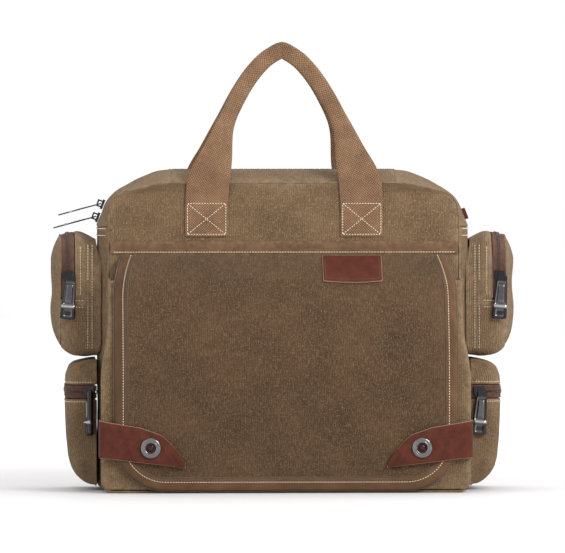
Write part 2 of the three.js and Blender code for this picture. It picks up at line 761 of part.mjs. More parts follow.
function upperPocket(parent, side) {
  const name = `upper_pocket_${side < 0 ? "left" : "right"}`;
  const y0 = MIDDLE_Y - UPPER.width;
  const y1 = MIDDLE_Y + UPPER.width;
  const aboveLid = block(100, 250, y0, y1, UPPER_LID_BOTTOM, UPPER.top + 10);
  const lidCutter = block(
    UPPER_GUSSET_OUTER,
    UPPER.outer + 10,
    y0,
    y1,
    UPPER_LID_BOTTOM - GAP,
    UPPER.top + 10,
  );
  const cup = join(
    upperPocketWall(POCKET_INNER_X, UPPER.outer - 2, CANVAS),
    sidePlate(upperPocketOutline(0), UPPER.outer - CANVAS, UPPER.outer),
  );
  const body = cut(cup, bagSideCutter(), lidCutter);
  piece(parent, `${name}_body`, onSide(side, body), canvas);

  const innerZip = UPPER_GUSSET_OUTER + GAP;
  const outerZip = innerZip + ZIP_TAPE + GAP;
  const lidInner = outerZip + ZIP_TAPE + GAP;
  const tape = (x) => common(upperPocketWall(x, x + ZIP_TAPE, ZIP_THICKNESS), aboveLid);
  piece(parent, `${name}_zip_inner`, onSide(side, tape(innerZip)), zipTape);
  piece(parent, `${name}_zip_outer`, onSide(side, tape(outerZip)), zipTape);
  const lid = common(sidePlate(upperPocketOutline(0), lidInner, UPPER.outer), aboveLid);
  piece(parent, `${name}_lid`, onSide(side, lid), canvas);

  const tapeMiddle = side * (outerZip - GAP / 2);
  const front = MIDDLE_Y - UPPER.width / 2 - GAP;
  sliderAndPull(parent, name, new THREE.Vector3(tapeMiddle, front, UPPER_SLIDER_Z));
}

// The lower pocket seen from above: square against the bag, round at its outer corners.
function lowerPocketPlan(inset, innerX) {
  const y0 = MIDDLE_Y - LOWER.width / 2 + inset;
  const y1 = MIDDLE_Y + LOWER.width / 2 - inset;
  const x1 = LOWER.outer - inset;
  const r = LOWER.corner - inset;
  const shape = new THREE.Shape();
  shape.moveTo(innerX, y0);
  shape.lineTo(x1 - r, y0);
  shape.absarc(x1 - r, y0 + r, r, -Math.PI / 2, 0, false);
  shape.absarc(x1 - r, y1 - r, r, 0, Math.PI / 2, false);
  shape.lineTo(innerX, y1);
  shape.closePath();
  return shape;
}

// The wall that follows the lower pocket's plan, from one height to another.
function lowerPocketWall(fromZ, toZ, thickness, innerX) {
  const outer = flatPlate(lowerPocketPlan(0, innerX), fromZ, toZ - fromZ);
  const inner = flatPlate(lowerPocketPlan(thickness, innerX - 5), fromZ - 1, toZ - fromZ + 2);
  return cut(outer, inner);
}

// The cap's section in x and z, inset all round but open below, run along y.
function lowerCapBlock(inset) {
  const bottom = LOWER_ZIP_Z + ZIP_TAPE + 1.5 * GAP;
  const top = LOWER.top - inset;
  const shape = new THREE.Shape([
    new THREE.Vector2(CAP_INNER_X - 2 * inset, bottom - 2 * inset),
    new THREE.Vector2(LOWER.outer + 1, bottom - 2 * inset),
    new THREE.Vector2(LOWER.outer + 1, top - LOWER_CAP_DROP),
    new THREE.Vector2(CAP_INNER_X - 2 * inset, top),
  ]);
  return uprightPlate(shape, MIDDLE_Y - LOWER.width, 2 * LOWER.width);
}

function lowerPocket(parent, side) {
  const name = `lower_pocket_${side < 0 ? "left" : "right"}`;
  const zipBottom = LOWER_ZIP_Z - ZIP_TAPE - GAP / 2;
  const shellTop = zipBottom - GAP;
  const shell = join(
    lowerPocketWall(LOWER.bottom, shellTop, CANVAS, POCKET_INNER_X),
    flatPlate(lowerPocketPlan(0, POCKET_INNER_X), LOWER.bottom, CANVAS),
  );
  piece(parent, `${name}_shell`, onSide(side, cut(shell, bagSideCutter())), canvas);

  const lowerTape = lowerPocketWall(zipBottom, zipBottom + ZIP_TAPE, ZIP_THICKNESS, CAP_INNER_X);
  const upperTape = lowerPocketWall(
    zipBottom + ZIP_TAPE + GAP,
    zipBottom + 2 * ZIP_TAPE + GAP,
    ZIP_THICKNESS,
    CAP_INNER_X,
  );
  const clear = bagSideCutter();
  piece(parent, `${name}_zip_lower`, onSide(side, cut(lowerTape, clear)), zipTape);
  piece(parent, `${name}_zip_upper`, onSide(side, cut(upperTape, clear)), zipTape);

  const outside = common(lowerCapBlock(0), flatPlate(lowerPocketPlan(0, CAP_INNER_X), 0, LOWER.top));
  const inside = common(
    lowerCapBlock(CANVAS),
    flatPlate(lowerPocketPlan(CANVAS, CAP_INNER_X - 5), 0, LOWER.top),
  );
  piece(parent, `${name}_cap`, onSide(side, cut(outside, inside, clear)), canvas);

  const front = MIDDLE_Y - LOWER.width / 2 - GAP;
  const place = new THREE.Vector3(side * LOWER_SLIDER_X, front, LOWER_ZIP_Z);
  sliderAndPull(parent, name, place, { edgeOn: side < 0 });
}

// ---------- Ends of the main zip ----------

// A point at a height on the run, the given distance off its face, on one side of the bag.
function onRun(side, z, off) {
  const x = RUN_BOTTOM.x + (RUN_BOTTOM.z - z) * Math.tan(RUN_LEAN);
  return new THREE.Vector3(
    side * (x + off * Math.cos(RUN_LEAN)),
    MIDDLE_Y,
    z + off * Math.sin(RUN_LEAN),
  );
}

function mainZipEnds(parent) {
  const sliders = { main_zip_first: FIRST_SLIDER_Z, main_zip_second: SECOND_SLIDER_Z };
  for (const [name, z] of Object.entries(sliders)) {
    sliderAndPull(parent, name, onRun(-1, z, MAIN_SLIDER_OFF), {
      facing: -Math.PI / 2,
      lean: -RUN_LEAN,
      hang: THREE.MathUtils.degToRad(MAIN_PULL_HANG),
    });
  }
  const size = { thickness: 3, width: 12, height: 10 };
  const tab = piece(
    parent,
    "zip_end_tab",
    block(
      -size.thickness / 2,
      size.thickness / 2,
      -size.width / 2,
      size.width / 2,
      -size.height / 2,
      size.height / 2,
    ),
    leather,
  );
  tab.position.copy(onRun(1, END_TAB_Z, MAIN_SLIDER_OFF + size.thickness / 2));
  tab.rotation.y = -RUN_LEAN;
}

// ---------- Assembly ----------

const group = new THREE.Group();
mainCompartment(group);
zipTop(group);
frontPocket(group);
flap(group);
handles(group);
mainZipEnds(group);
for (const side of [-1, 1]) {
  cornerTab(group, side);
  snapStud(group, side);
  upperPocket(group, side);
  lowerPocket(group, side);
}

export default group;
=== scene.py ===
# Looks of a canvas messenger bag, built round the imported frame. Shapes are worked out in
# millimetres in the frame's own axes (+X right, front faces -Y, +Z up) and stored in metres.

import json
import math

import bpy
import numpy as np
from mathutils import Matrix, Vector

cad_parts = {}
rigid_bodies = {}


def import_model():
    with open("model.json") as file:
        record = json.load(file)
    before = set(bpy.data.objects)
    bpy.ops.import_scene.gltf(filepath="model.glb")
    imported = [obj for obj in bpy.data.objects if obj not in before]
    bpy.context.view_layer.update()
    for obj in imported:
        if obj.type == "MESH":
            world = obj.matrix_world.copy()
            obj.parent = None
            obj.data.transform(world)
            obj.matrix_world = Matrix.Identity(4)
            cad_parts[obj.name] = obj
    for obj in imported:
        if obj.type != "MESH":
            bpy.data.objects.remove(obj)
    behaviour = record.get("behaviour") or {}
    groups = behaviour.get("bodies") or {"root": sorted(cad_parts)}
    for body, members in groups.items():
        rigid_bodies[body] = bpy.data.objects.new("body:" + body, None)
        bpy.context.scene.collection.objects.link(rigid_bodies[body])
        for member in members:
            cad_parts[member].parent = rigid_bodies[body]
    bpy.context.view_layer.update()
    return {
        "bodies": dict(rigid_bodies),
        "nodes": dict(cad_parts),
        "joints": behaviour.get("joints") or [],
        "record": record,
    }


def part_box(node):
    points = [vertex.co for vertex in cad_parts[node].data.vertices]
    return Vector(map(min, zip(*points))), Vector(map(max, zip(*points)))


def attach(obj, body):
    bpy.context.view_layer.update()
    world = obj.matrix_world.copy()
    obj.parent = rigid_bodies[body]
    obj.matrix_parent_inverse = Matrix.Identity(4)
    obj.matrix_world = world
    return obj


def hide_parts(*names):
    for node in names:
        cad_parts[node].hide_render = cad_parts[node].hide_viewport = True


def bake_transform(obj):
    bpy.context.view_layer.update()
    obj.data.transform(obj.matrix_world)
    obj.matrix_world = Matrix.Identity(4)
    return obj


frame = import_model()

NODES = frame["nodes"]
MM = 0.001

# ---------- Dimensions shared with the frame, in mm ----------

GAP = 0.3
FRONT_Y, BACK_Y, MIDDLE_Y = -22.3, 72.7, 25.2
HALF_WIDTH, SIDE_BULGE, SIDE_TOP, PANEL_TOP, CROWN = 156.0, 10.0, 235.0, 274.0, 12.0
GUSSET_Y0, GUSSET_DEPTH = -20.8, 92.0
CANVAS, WEBBING, FLAP = 2.2, 2.0, 2.4
MOUTH_Z, SLOPE_Z, POCKET_Y, MOUTH_Y = 188.0, 105.0, -65.5, -42.3
STANDOFF = 3.8
FLAP_TOP, FLAP_BOTTOM, FLAP_HALF, FLAP_CORNER = 209.5, 2.5, 151.5, 45.0
FLAP_SEAM, FLAP_HINGE_Y = 213.6, -23.9
BAND_Z0, BAND_Z1 = 210.4, 222.0
SNAP_Z = 40.0
FOOT_X, FOOT_Z0, FOOT_Z1 = 69.0, 226.0, 258.0
STRIP_HALF = 99.7
EDGE_CORNER = np.array(
    [(100, 274), (113, 272.8), (127, 269.3), (143, 265.5), (152, 259), (155.4, 248), (156, 235)], float
)
CROWN_CORNER = np.array(
    [(100, 286), (114, 283.4), (129, 277.2), (148, 266.5), (157.6, 256), (161.4, 246), (166, 235)], float
)
UPPER = {"y0": -14.8, "y1": 65.2, "z0": 119.6, "z1": 230.0, "r0": 10.0, "r1": 28.0, "lid": 170.0}
LOWER = {"y0": -17.3, "y1": 67.7, "outer": 194.6, "corner": 12.0, "inner": 166.2, "seat": 166.4}


# ---------- Numbers ----------

def mix(a, b, t):
    return a + (b - a) * t


def ramp(x, a, b):
    return np.clip((np.asarray(x, float) - a) / (b - a), 0, 1)


def smooth(x, a, b):
    t = ramp(x, a, b)
    return t * t * (3 - 2 * t)


def ripple(x, y, length, seed, waves=7):
    """Smooth irregular ripples from -1 to 1 whose crests are about length apart."""
    rng = np.random.default_rng(seed)
    total = 0.0
    for _ in range(waves):
        angle = rng.uniform(0, math.tau)
        size = length * rng.uniform(0.7, 1.7)
        phase = rng.uniform(0, math.tau)
        along = x * math.cos(angle) + y * math.sin(angle)
        total = total + np.sin(along * math.tau / size + phase)
    return total / waves ** 0.5 / 1.4


def pucker(along, distance, pitch, seed, reach=7.0):
    """Small gathers beside a seam: along runs with it, distance away from it."""
    wobble = ripple(along, along * 0, pitch * 5, seed)
    return np.sin(along * math.tau / pitch + 2.5 * wobble) * np.exp(-np.abs(distance) / reach)


def catmull(points, count):
    """Evenly spaced points on a smooth curve through the given ones."""
    p = np.asarray(points, float)
    padded = np.vstack([2 * p[0] - p[1], p, 2 * p[-1] - p[-2]])
    dense = []
    for i in range(len(p) - 1):
        a, b, c, d = padded[i:i + 4]
        t = np.linspace(0, 1, 24, endpoint=False)[:, None]
        dense.append(0.5 * (2 * b + (c - a) * t + (2 * a - 5 * b + 4 * c - d) * t ** 2
                            + (3 * b - a - 3 * c + d) * t ** 3))
    return resample(np.vstack(dense + [p[-1:]]), count)


def run_along(points):
    """Distance run along a path, point by point."""
    return np.r_[0, np.cumsum(np.linalg.norm(np.diff(points, axis=0), axis=1))]


def place(x, y, z):
    """Points from coordinates that spread over each other, for a path or a grid."""
    return np.stack(np.broadcast_arrays(x, y, z), -1)


def resample(points, count):
    """Evenly spaced points along a path."""
    points = np.asarray(points, float)
    steps = run_along(points)
    at = np.linspace(0, steps[-1], count)
    return np.stack([np.interp(at, steps, points[:, k]) for k in range(points.shape[1])], 1)


# ---------- Pieces ----------

def add(name, verts, faces, material, body, replaces=(), uv=None, wear_and_highlight=None):
    """A smooth mesh piece on a body; a piece without one is left off any body, and its maker bakes its
    transform.
    """
    mesh = bpy.data.meshes.new(name)
    mesh.from_pydata((np.asarray(verts, float) * MM).tolist(), [], faces)
    mesh.validate()
    mesh.update()
    if uv is not None:
        layer = mesh.uv_layers.new(name="UVMap")
        index = np.zeros(len(mesh.loops), int)
        mesh.loops.foreach_get("vertex_index", index)
        layer.data.foreach_set("uv", (np.asarray(uv, float)[index] * MM).ravel())
    if wear_and_highlight is not None:
        layer = mesh.attributes.new("wear_and_highlight", "FLOAT", "POINT")
        layer.data.foreach_set("value", np.asarray(wear_and_highlight, np.float32))
    mesh.shade_smooth()
    obj = bpy.data.objects.new(name, mesh)
    bpy.context.scene.collection.objects.link(obj)
    mesh.materials.append(material)
    if body:
        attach(obj, body)
    if replaces:
        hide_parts(*replaces)
    return obj


def grid_faces(rows, columns, wrap=False, start=0):
    faces = []
    last = columns if wrap else columns - 1
    for r in range(rows - 1):
        for c in range(last):
            d = (c + 1) % columns
            faces.append((start + r * columns + c, start + r * columns + d,
                          start + (r + 1) * columns + d, start + (r + 1) * columns + c))
    return faces


def tube_faces(rows, columns):
    """Faces of a closed tube: its wall and both ends."""
    faces = grid_faces(rows, columns, wrap=True)
    faces.append(tuple(range(columns - 1, -1, -1)))
    faces.append(tuple((rows - 1) * columns + k for k in range(columns)))
    return faces


def lengths(points):
    """Distance run along the rows and along the columns of a grid of points."""
    across = np.linalg.norm(np.diff(points, axis=1), axis=2).cumsum(1)
    up = np.linalg.norm(np.diff(points, axis=0), axis=2).cumsum(0)
    across = np.pad(across, ((0, 0), (1, 0)))
    up = np.pad(up, ((1, 0), (0, 0)))
    return across, up


def soften(obj):
    soft = obj.modifiers.new("soft", "SUBSURF")
    soft.levels = soft.render_levels = 1


def cloth(name, points, material, body="bag", thick=CANVAS, replaces=(), out=1, edge_wear=5.0,
          uv=None):
    """A sheet with rounded edges over a grid of points, its outer face on the points.

    out is 1 where the direction along a row crossed with the one from row to row faces outward."""
    points = np.asarray(points, float)
    rows, columns = points.shape[:2]
    across, up = lengths(points)
    to_edge = np.minimum(np.minimum(across, across[:, -1:] - across), np.minimum(up, up[-1:] - up))
    if uv is None:
        uv = np.stack([across - across[:, -1:] / 2, up], 2)
    obj = add(name, points.reshape(-1, 3), grid_faces(rows, columns), material, body, replaces,
              uv=uv.reshape(-1, 2), wear_and_highlight=np.exp(-to_edge / edge_wear).ravel())
    solid = obj.modifiers.new("thickness", "SOLIDIFY")
    solid.thickness = thick * MM
    solid.offset = -1 if out > 0 else 1
    solid.use_even_offset = True
    soften(obj)
    return obj


# Each ring of a stitch: its share of the length, its size, and its height in widths.
STITCH_RINGS = ((0, 0.35, -0.3), (0.18, 0.9, 0.2), (0.5, 1, 0.42), (0.82, 0.9, 0.2), (1, 0.35, -0.3))


def stitches(name, path, outward, material, body, pitch=2.4, width=0.6, share=0.68, sink=0.05, seed=1):
    """A row of thread stitches along a path, standing on a surface that faces outward."""
    path = np.asarray(path, float)
    outward = np.broadcast_to(np.asarray(outward, float), path.shape)
    run = run_along(path)
    count = max(2, int(run[-1] / pitch))
    rng = np.random.default_rng(seed)
    verts, faces = [], []
    sample = lambda s, field: np.array([np.interp(s, run, field[:, k]) for k in range(3)])
    for i in range(count):
        start = (i + 0.5 - share / 2) * run[-1] / count + rng.uniform(-0.08, 0.08)
        end = start + pitch * share * rng.uniform(0.92, 1.06)
        a, b = sample(start, path), sample(end, path)
        up = sample((start + end) / 2, outward)
        up /= np.linalg.norm(up)
        along = b - a
        if np.linalg.norm(along) < 1e-6:
            continue
        side = np.cross(along, up)
        side /= np.linalg.norm(side)
        base = len(verts)
        for t, size, lift in STITCH_RINGS:
            centre = a + along * t + up * (lift * width - sink)
            for k in range(6):
                angle = k * math.tau / 6
                round_it = side * math.cos(angle) + up * math.sin(angle) * 0.75
                verts.append(centre + round_it * size * width / 2)
        for r in range(4):
            for k in range(6):
                n = (k + 1) % 6
                low = base + r * 6
                faces.append((low + k, low + n, low + 6 + n, low + 6 + k))
        faces.append(tuple(base + k for k in range(5, -1, -1)))
        faces.append(tuple(base + 24 + k for k in range(6)))
    return add(name, verts, faces, material, body)


# ---------- Materials ----------

class Nodes:
    """Short names for building a material's nodes."""

    def __init__(self, name, roughness, sheen=0.0, metallic=0.0, specular=0.35, coat=0.0):
        self.material = bpy.data.materials.new(name)
        self.material.use_nodes = True
        self.tree = self.material.node_tree
        self.shader = self.tree.nodes["Principled BSDF"]
        for socket, value in (("Roughness", roughness), ("Sheen Weight", sheen), ("Metallic", metallic),
                              ("Specular IOR Level", specular), ("Coat Weight", coat)):
            self.shader.inputs[socket].default_value = value
        self.uv = self.tree.nodes.new("ShaderNodeUVMap").outputs[0]

    def feed(self, socket, value):
        if isinstance(value, bpy.types.NodeSocket):
            self.tree.links.new(value, socket)
        else:
            socket.default_value = value

    def math(self, kind, a, b=0.0, clamp=False):
        node = self.tree.nodes.new("ShaderNodeMath")
        node.operation, node.use_clamp = kind, clamp
        self.feed(node.inputs[0], a)
        self.feed(node.inputs[1], b)
        return node.outputs[0]

    def scaled(self, source, scale):
        node = self.tree.nodes.new("ShaderNodeMapping")
        self.feed(node.inputs["Vector"], source)
        node.inputs["Scale"].default_value = scale
        return node.outputs[0]

    def noise(self, vector, scale, detail=3.0, rough=0.55):
        node = self.tree.nodes.new("ShaderNodeTexNoise")
        self.feed(node.inputs["Vector"], vector)
        node.inputs["Scale"].default_value = scale
        node.inputs["Detail"].default_value = detail
        node.inputs["Roughness"].default_value = rough
        return node.outputs["Fac"]

    def ramp(self, value, low, high):
        node = self.tree.nodes.new("ShaderNodeMapRange")
        self.feed(node.inputs["Value"], value)
        node.inputs["From Min"].default_value, node.inputs["From Max"].default_value = low, high
        return node.outputs[0]

    def tint(self, factor, a, b, kind="MIX"):
        node = self.tree.nodes.new("ShaderNodeMix")
        node.data_type, node.blend_type = "RGBA", kind
        self.feed(node.inputs[0], factor)
        self.feed(node.inputs[6], a if isinstance(a, bpy.types.NodeSocket) else (*a, 1))
        self.feed(node.inputs[7], b if isinstance(b, bpy.types.NodeSocket) else (*b, 1))
        return node.outputs[2]

    def stain(self, colour, value, low, high, share, towards):
        """Move a colour towards another where a value goes from low to high."""
        return self.tint(self.math("MULTIPLY", self.ramp(value, low, high), share), colour, towards)

    def separate(self, vector):
        node = self.tree.nodes.new("ShaderNodeSeparateXYZ")
        self.feed(node.inputs[0], vector)
        return node.outputs

    def attribute(self, name):
        node = self.tree.nodes.new("ShaderNodeAttribute")
        node.attribute_name = name
        return node.outputs["Fac"]

    def bump(self, height, distance, strength=1.0, under=None):
        node = self.tree.nodes.new("ShaderNodeBump")
        node.inputs["Strength"].default_value = strength
        node.inputs["Distance"].default_value = distance
        self.feed(node.inputs["Height"], height)
        if under is not None:
            self.feed(node.inputs["Normal"], under)
        return node.outputs[0]

    def finish(self, colour, normal, rough=None):
        self.feed(self.shader.inputs["Base Color"], colour)
        self.feed(self.shader.inputs["Normal"], normal)
        if rough is not None:
            self.feed(self.shader.inputs["Roughness"], rough)
        return self.material


def woven(name, base, dark, light, wale=1.9, slub=0.5, speck=0.85, wear_and_highlight=0.5, depth=0.0004):
    """Washed canvas: cords along the warp, uneven slubs, pale flecks of undyed yarn and worn edges."""
    n = Nodes(name, roughness=0.93, sheen=0.06, specular=0.14)
    u, v = n.separate(n.uv)[0:2]
    drift = n.math("MULTIPLY", n.noise(n.scaled(n.uv, (120, 26, 1)), 1.0, 2.0), 5.0)
    cords = n.math("SINE", n.math("ADD", n.math("MULTIPLY", u, math.tau / (wale * MM)), drift))
    weft = n.math("SINE", n.math("MULTIPLY", v, math.tau / (0.55 * wale * MM)))
    streak = n.noise(n.scaled(n.uv, (900, 150, 1)), 1.0, 4.0, 0.7)
    cross = n.noise(n.scaled(n.uv, (55, 760, 1)), 1.0, 3.0, 0.6)
    cloud = n.noise(n.uv, 24.0, 5.0, 0.6)
    fleck = n.noise(n.scaled(n.uv, (1250, 620, 1)), 1.0, 2.0, 0.75)
    colour = n.tint(n.ramp(cloud, 0.3, 0.7), dark, base)
    colour = n.stain(colour, cords, 0.1, -0.9, 0.42, dark)
    colour = n.stain(colour, streak, 0.5, 0.8, slub, light)
    colour = n.stain(colour, cross, 0.55, 0.85, slub * 0.5, light)
    colour = n.stain(colour, streak, 0.46, 0.26, 0.55, dark)
    colour = n.stain(colour, fleck, 0.56, 0.7, speck, light)
    worn = n.math("MULTIPLY", n.attribute("wear_and_highlight"), n.ramp(n.noise(n.uv, 160.0, 4.0), 0.3, 0.7))
    colour = n.tint(n.math("MULTIPLY", worn, wear_and_highlight, clamp=True), colour, light)
    threads = n.math("ADD", n.math("MULTIPLY", cords, 0.3), n.math("MULTIPLY", weft, 0.15))
    height = n.math("ADD", threads, n.math("ADD", streak, n.math("ADD", cross, fleck)))
    return n.finish(colour, n.bump(height, depth))


def basket_webbing(name, base, dark, light, cell=1.15):
    """Heavy cotton webbing in a basket weave, with ribs across it."""
    n = Nodes(name, roughness=0.9, sheen=0.06, specular=0.14)
    u, v = n.separate(n.uv)[0:2]
    turns = math.pi / (cell * MM)
    a = n.math("SINE", n.math("MULTIPLY", u, turns))
    b = n.math("SINE", n.math("MULTIPLY", v, turns))
    check = n.math("MULTIPLY", a, b)
    fine = n.math("SINE", n.math("MULTIPLY", n.math("ADD", u, v), turns * 3.1))
    cloud = n.noise(n.uv, 45.0, 4.0)
    fibre = n.noise(n.scaled(n.uv, (1100, 260, 1)), 1.0, 3.0, 0.7)
    colour = n.tint(n.ramp(cloud, 0.3, 0.7), dark, base)
    colour = n.stain(colour, check, 0.2, -0.8, 0.7, dark)
    colour = n.stain(colour, check, 0.35, 0.95, 0.55, light)
    colour = n.stain(colour, fibre, 0.55, 0.75, 0.4, light)
    weave = n.math("MULTIPLY", check, 0.7)
    height = n.math("ADD", weave, n.math("ADD", n.math("MULTIPLY", fine, 0.12), fibre))
    return n.finish(colour, n.bump(height, 0.0005))


def twill_tape(name, base, dark, light, rib=1.6):
    """Twill binding with diagonal ribs."""
    n = Nodes(name, roughness=0.88, sheen=0.05, specular=0.14)
    u, v = n.separate(n.uv)[0:2]
    ribs = n.math("SINE", n.math("MULTIPLY", n.math("ADD", u, v), math.tau / (rib * MM)))
    cloud = n.noise(n.uv, 40.0, 4.0)
    fibre = n.noise(n.uv, 1100.0, 3.0, 0.7)
    colour = n.tint(n.ramp(cloud, 0.3, 0.7), dark, base)
    colour = n.stain(colour, ribs, 0.2, -0.9, 0.4, dark)
    worn = n.math("MULTIPLY", n.attribute("wear_and_highlight"), n.ramp(n.noise(n.uv, 220.0), 0.35, 0.65))
    colour = n.tint(n.math("MULTIPLY", worn, 0.4), colour, light)
    colour = n.stain(colour, fibre, 0.6, 0.75, 0.45, light)
    return n.finish(colour, n.bump(n.math("ADD", ribs, fibre), 0.00022))


def grained_leather(name, base, dark, edge):
    """Waxed leather with a fine grain, mottling and raw pale edges."""
    n = Nodes(name, roughness=0.5, specular=0.12)
    cell = n.tree.nodes.new("ShaderNodeTexVoronoi")
    n.feed(cell.inputs["Vector"], n.uv)
    cell.feature = "DISTANCE_TO_EDGE"
    cell.inputs["Scale"].default_value = 950.0
    grain = n.ramp(cell.outputs["Distance"], 0.0, 0.35)
    mottle = n.noise(n.uv, 90.0, 5.0, 0.6)
    colour = n.tint(n.ramp(mottle, 0.3, 0.7), dark, base)
    colour = n.stain(colour, n.attribute("wear_and_highlight"), 0.72, 0.95, 0.8, edge)
    height = n.math("ADD", grain, n.math("MULTIPLY", mottle, 1.6))
    rough = n.ramp(mottle, -0.6, 1.6)
    return n.finish(colour, n.bump(height, 0.00016), rough)


def plated_metal(name, base, rubbed_and_highlight):
    """Plated metal, slightly uneven, turned pale where a mesh attribute says: rubbing on the pulls' raised
    block and painted highlights on their ridge and slopes.
    """
    n = Nodes(name, roughness=0.2, metallic=1.0, specular=0.5)
    where = n.tree.nodes.new("ShaderNodeTexCoord").outputs["Object"]
    rub = n.noise(where, 420.0, 4.0)
    # On the zip pulls this mask holds painted highlights on the ridge and slopes, besides the paler raised
    # block.
    worn = n.math("MULTIPLY", n.attribute("wear_and_highlight"), n.ramp(rub, 0.1, 0.45), clamp=True)
    colour = n.tint(worn, base, rubbed_and_highlight)
    return n.finish(colour, n.bump(rub, 0.00001), n.math("MULTIPLY", n.ramp(rub, -0.2, 1.6), 0.45))


def thread_material(name, colour, shade):
    n = Nodes(name, roughness=0.75, sheen=0.3, specular=0.25)
    where = n.tree.nodes.new("ShaderNodeTexCoord").outputs["Object"]
    twist = n.noise(n.scaled(where, (2600, 2600, 2600)), 1.0, 2.0)
    return n.finish(n.tint(n.ramp(twist, 0.3, 0.7), shade, colour), n.bump(twist, 0.0001))


def coarse(name, base, dark, scale=700.0, rough=0.9):
    """Plain lining cloth or board, with a fine irregular surface."""
    n = Nodes(name, roughness=rough, sheen=0.1, specular=0.2)
    where = n.tree.nodes.new("ShaderNodeTexCoord").outputs["Object"]
    grain = n.noise(where, scale, 3.0, 0.65)
    return n.finish(n.tint(n.ramp(grain, 0.3, 0.7), dark, base), n.bump(grain, 0.0002))


CANVAS_CLOTH = woven("canvas", (0.16, 0.098, 0.05), (0.085, 0.05, 0.024), (0.36, 0.265, 0.165))
POCKET_CLOTH = woven("side_canvas", (0.172, 0.107, 0.056), (0.095, 0.057, 0.029), (0.37, 0.275, 0.175))
FLAP_CLOTH = woven(
    "flap_canvas", (0.088, 0.049, 0.0245), (0.046, 0.025, 0.0115), (0.245, 0.17, 0.103), wear_and_highlight=0.3
)
TWILL = twill_tape("twill", (0.18, 0.1, 0.05), (0.09, 0.048, 0.024), (0.34, 0.225, 0.135))
BINDING = twill_tape("binding", (0.155, 0.084, 0.041), (0.085, 0.044, 0.021), (0.3, 0.19, 0.11))
ZIP_TAPE = twill_tape("zip_tape", (0.145, 0.068, 0.046), (0.075, 0.034, 0.023), (0.25, 0.145, 0.1), rib=0.9)
WEB = basket_webbing("webbing", (0.255, 0.143, 0.077), (0.12, 0.062, 0.031), (0.5, 0.34, 0.215))
LEATHER_SKIN = grained_leather("leather", (0.105, 0.026, 0.014), (0.05, 0.012, 0.007), (0.34, 0.21, 0.13))
GUNMETAL = plated_metal("gunmetal", (0.035, 0.034, 0.037), (0.5, 0.48, 0.49))
STEEL = plated_metal("snap_metal", (0.17, 0.163, 0.165), (0.3, 0.29, 0.29))
THREAD = thread_material("thread", (0.78, 0.69, 0.54), (0.55, 0.46, 0.33))
DARK_THREAD = thread_material("dark_thread", (0.12, 0.07, 0.04), (0.06, 0.035, 0.02))
COIL = thread_material("zip_coil", (0.075, 0.038, 0.027), (0.035, 0.018, 0.013))
LINING = coarse("lining", (0.11, 0.095, 0.078), (0.07, 0.058, 0.046))
BOARD = coarse("board", (0.3, 0.24, 0.17), (0.2, 0.155, 0.105), 300.0)


# ---------- Main compartment ----------

# Creases in the panels beside the handles: where, how wide and how deep.
FOLDS = ((-118, 7, -2.2), (-104, 10, 1.4), (112, 8, -2.6), (128, 9, 1.6), (24, 14, -1.4))
EDGE = catmull(EDGE_CORNER, 40)
CREST = catmull(CROWN_CORNER, 40)


def panel_half(z):
    """Half width of the front and back panels at a height."""
    z = np.asarray(z, float)
    low = HALF_WIDTH - 8 * (1 - ramp(z, 2.8, 10.8))
    high = np.interp(z, EDGE[::-1, 1], EDGE[::-1, 0])
    return np.where(z < SIDE_TOP, low, high)


def panel_puff(x, z, seed):
    """How far a panel stands out at a place, from its stuffing and its gathered seams."""
    across = 1 - np.abs(x / np.maximum(panel_half(z), 1)) ** 4
    puff = 1.6 * across * smooth(z, 5, 60) * (1 - smooth(z, 240, PANEL_TOP))
    seam = 0.55 * pucker(x, PANEL_TOP - z, 11, seed)
    folds = sum(depth * np.exp(-((x - at - 0.12 * (z - 250)) / width) ** 2) for at, width, depth in FOLDS)
    folds = folds * smooth(z, 215, 240) * (1 - smooth(z, 262, PANEL_TOP))
    return puff + seam + folds + 0.8 * across * ripple(x, z * 0.7, 55, seed + 1)


def front_y(x, z):
    return FRONT_Y - 0.35 * panel_puff(x, z, 3)


def back_y(x, z):
    return BACK_Y + 0.5 * panel_puff(x, z, 8) - 0.6


def panel_points(face):
    z = np.r_[np.linspace(2.8, 230, 56), np.linspace(233, PANEL_TOP, 22)][:, None]
    u = np.linspace(-1, 1, 92)[None, :]
    x = u * panel_half(z)
    return place(x, face(x, z), z)


cloth("front_panel", panel_points(front_y), CANVAS_CLOTH, replaces=["main_front_panel"])
cloth("back_panel", panel_points(back_y), CANVAS_CLOTH, replaces=["main_back_panel"], out=-1)


def arch(v):
    return 1 - (2 * v - 1) ** 2


def flat_arch(v):
    return 1 - (2 * v - 1) ** 6


def side_surface(side, z, v, lift):
    """Points on a side of the bag, at a height and at a share v of its depth."""
    swell = SIDE_BULGE * flat_arch(v) + 0.7 * ripple(z, v * 80, 45, 20 + side) * arch(v)
    return place(side * (HALF_WIDTH + lift + swell), GUSSET_Y0 + GUSSET_DEPTH * v, z)


def corner_points(side):
    """The bag's top corner, from the side panel's head up to the end of the zip."""
    u = np.linspace(0.0, 1, 34)
    v = np.linspace(0, 1, 30)[None, :]
    at = np.linspace(0, 39, len(u))
    edge = np.stack([np.interp(at, range(40), EDGE[:, k]) for k in (0, 1)], 1)
    crest = np.stack([np.interp(at, range(40), CREST[:, k]) for k in (0, 1)], 1)
    flatness = smooth(u, 0.55, 1)[:, None]
    rise = mix(arch(v), flat_arch(v), flatness)
    x = mix(edge[:, :1], crest[:, :1], rise)
    wrinkle = 0.5 * arch(v) * ripple(at[:, None] * 4, v * 80, 30, 31 + side)
    z = mix(edge[:, 1:], crest[:, 1:], rise) + wrinkle
    return place(side * x, GUSSET_Y0 + GUSSET_DEPTH * v, z)


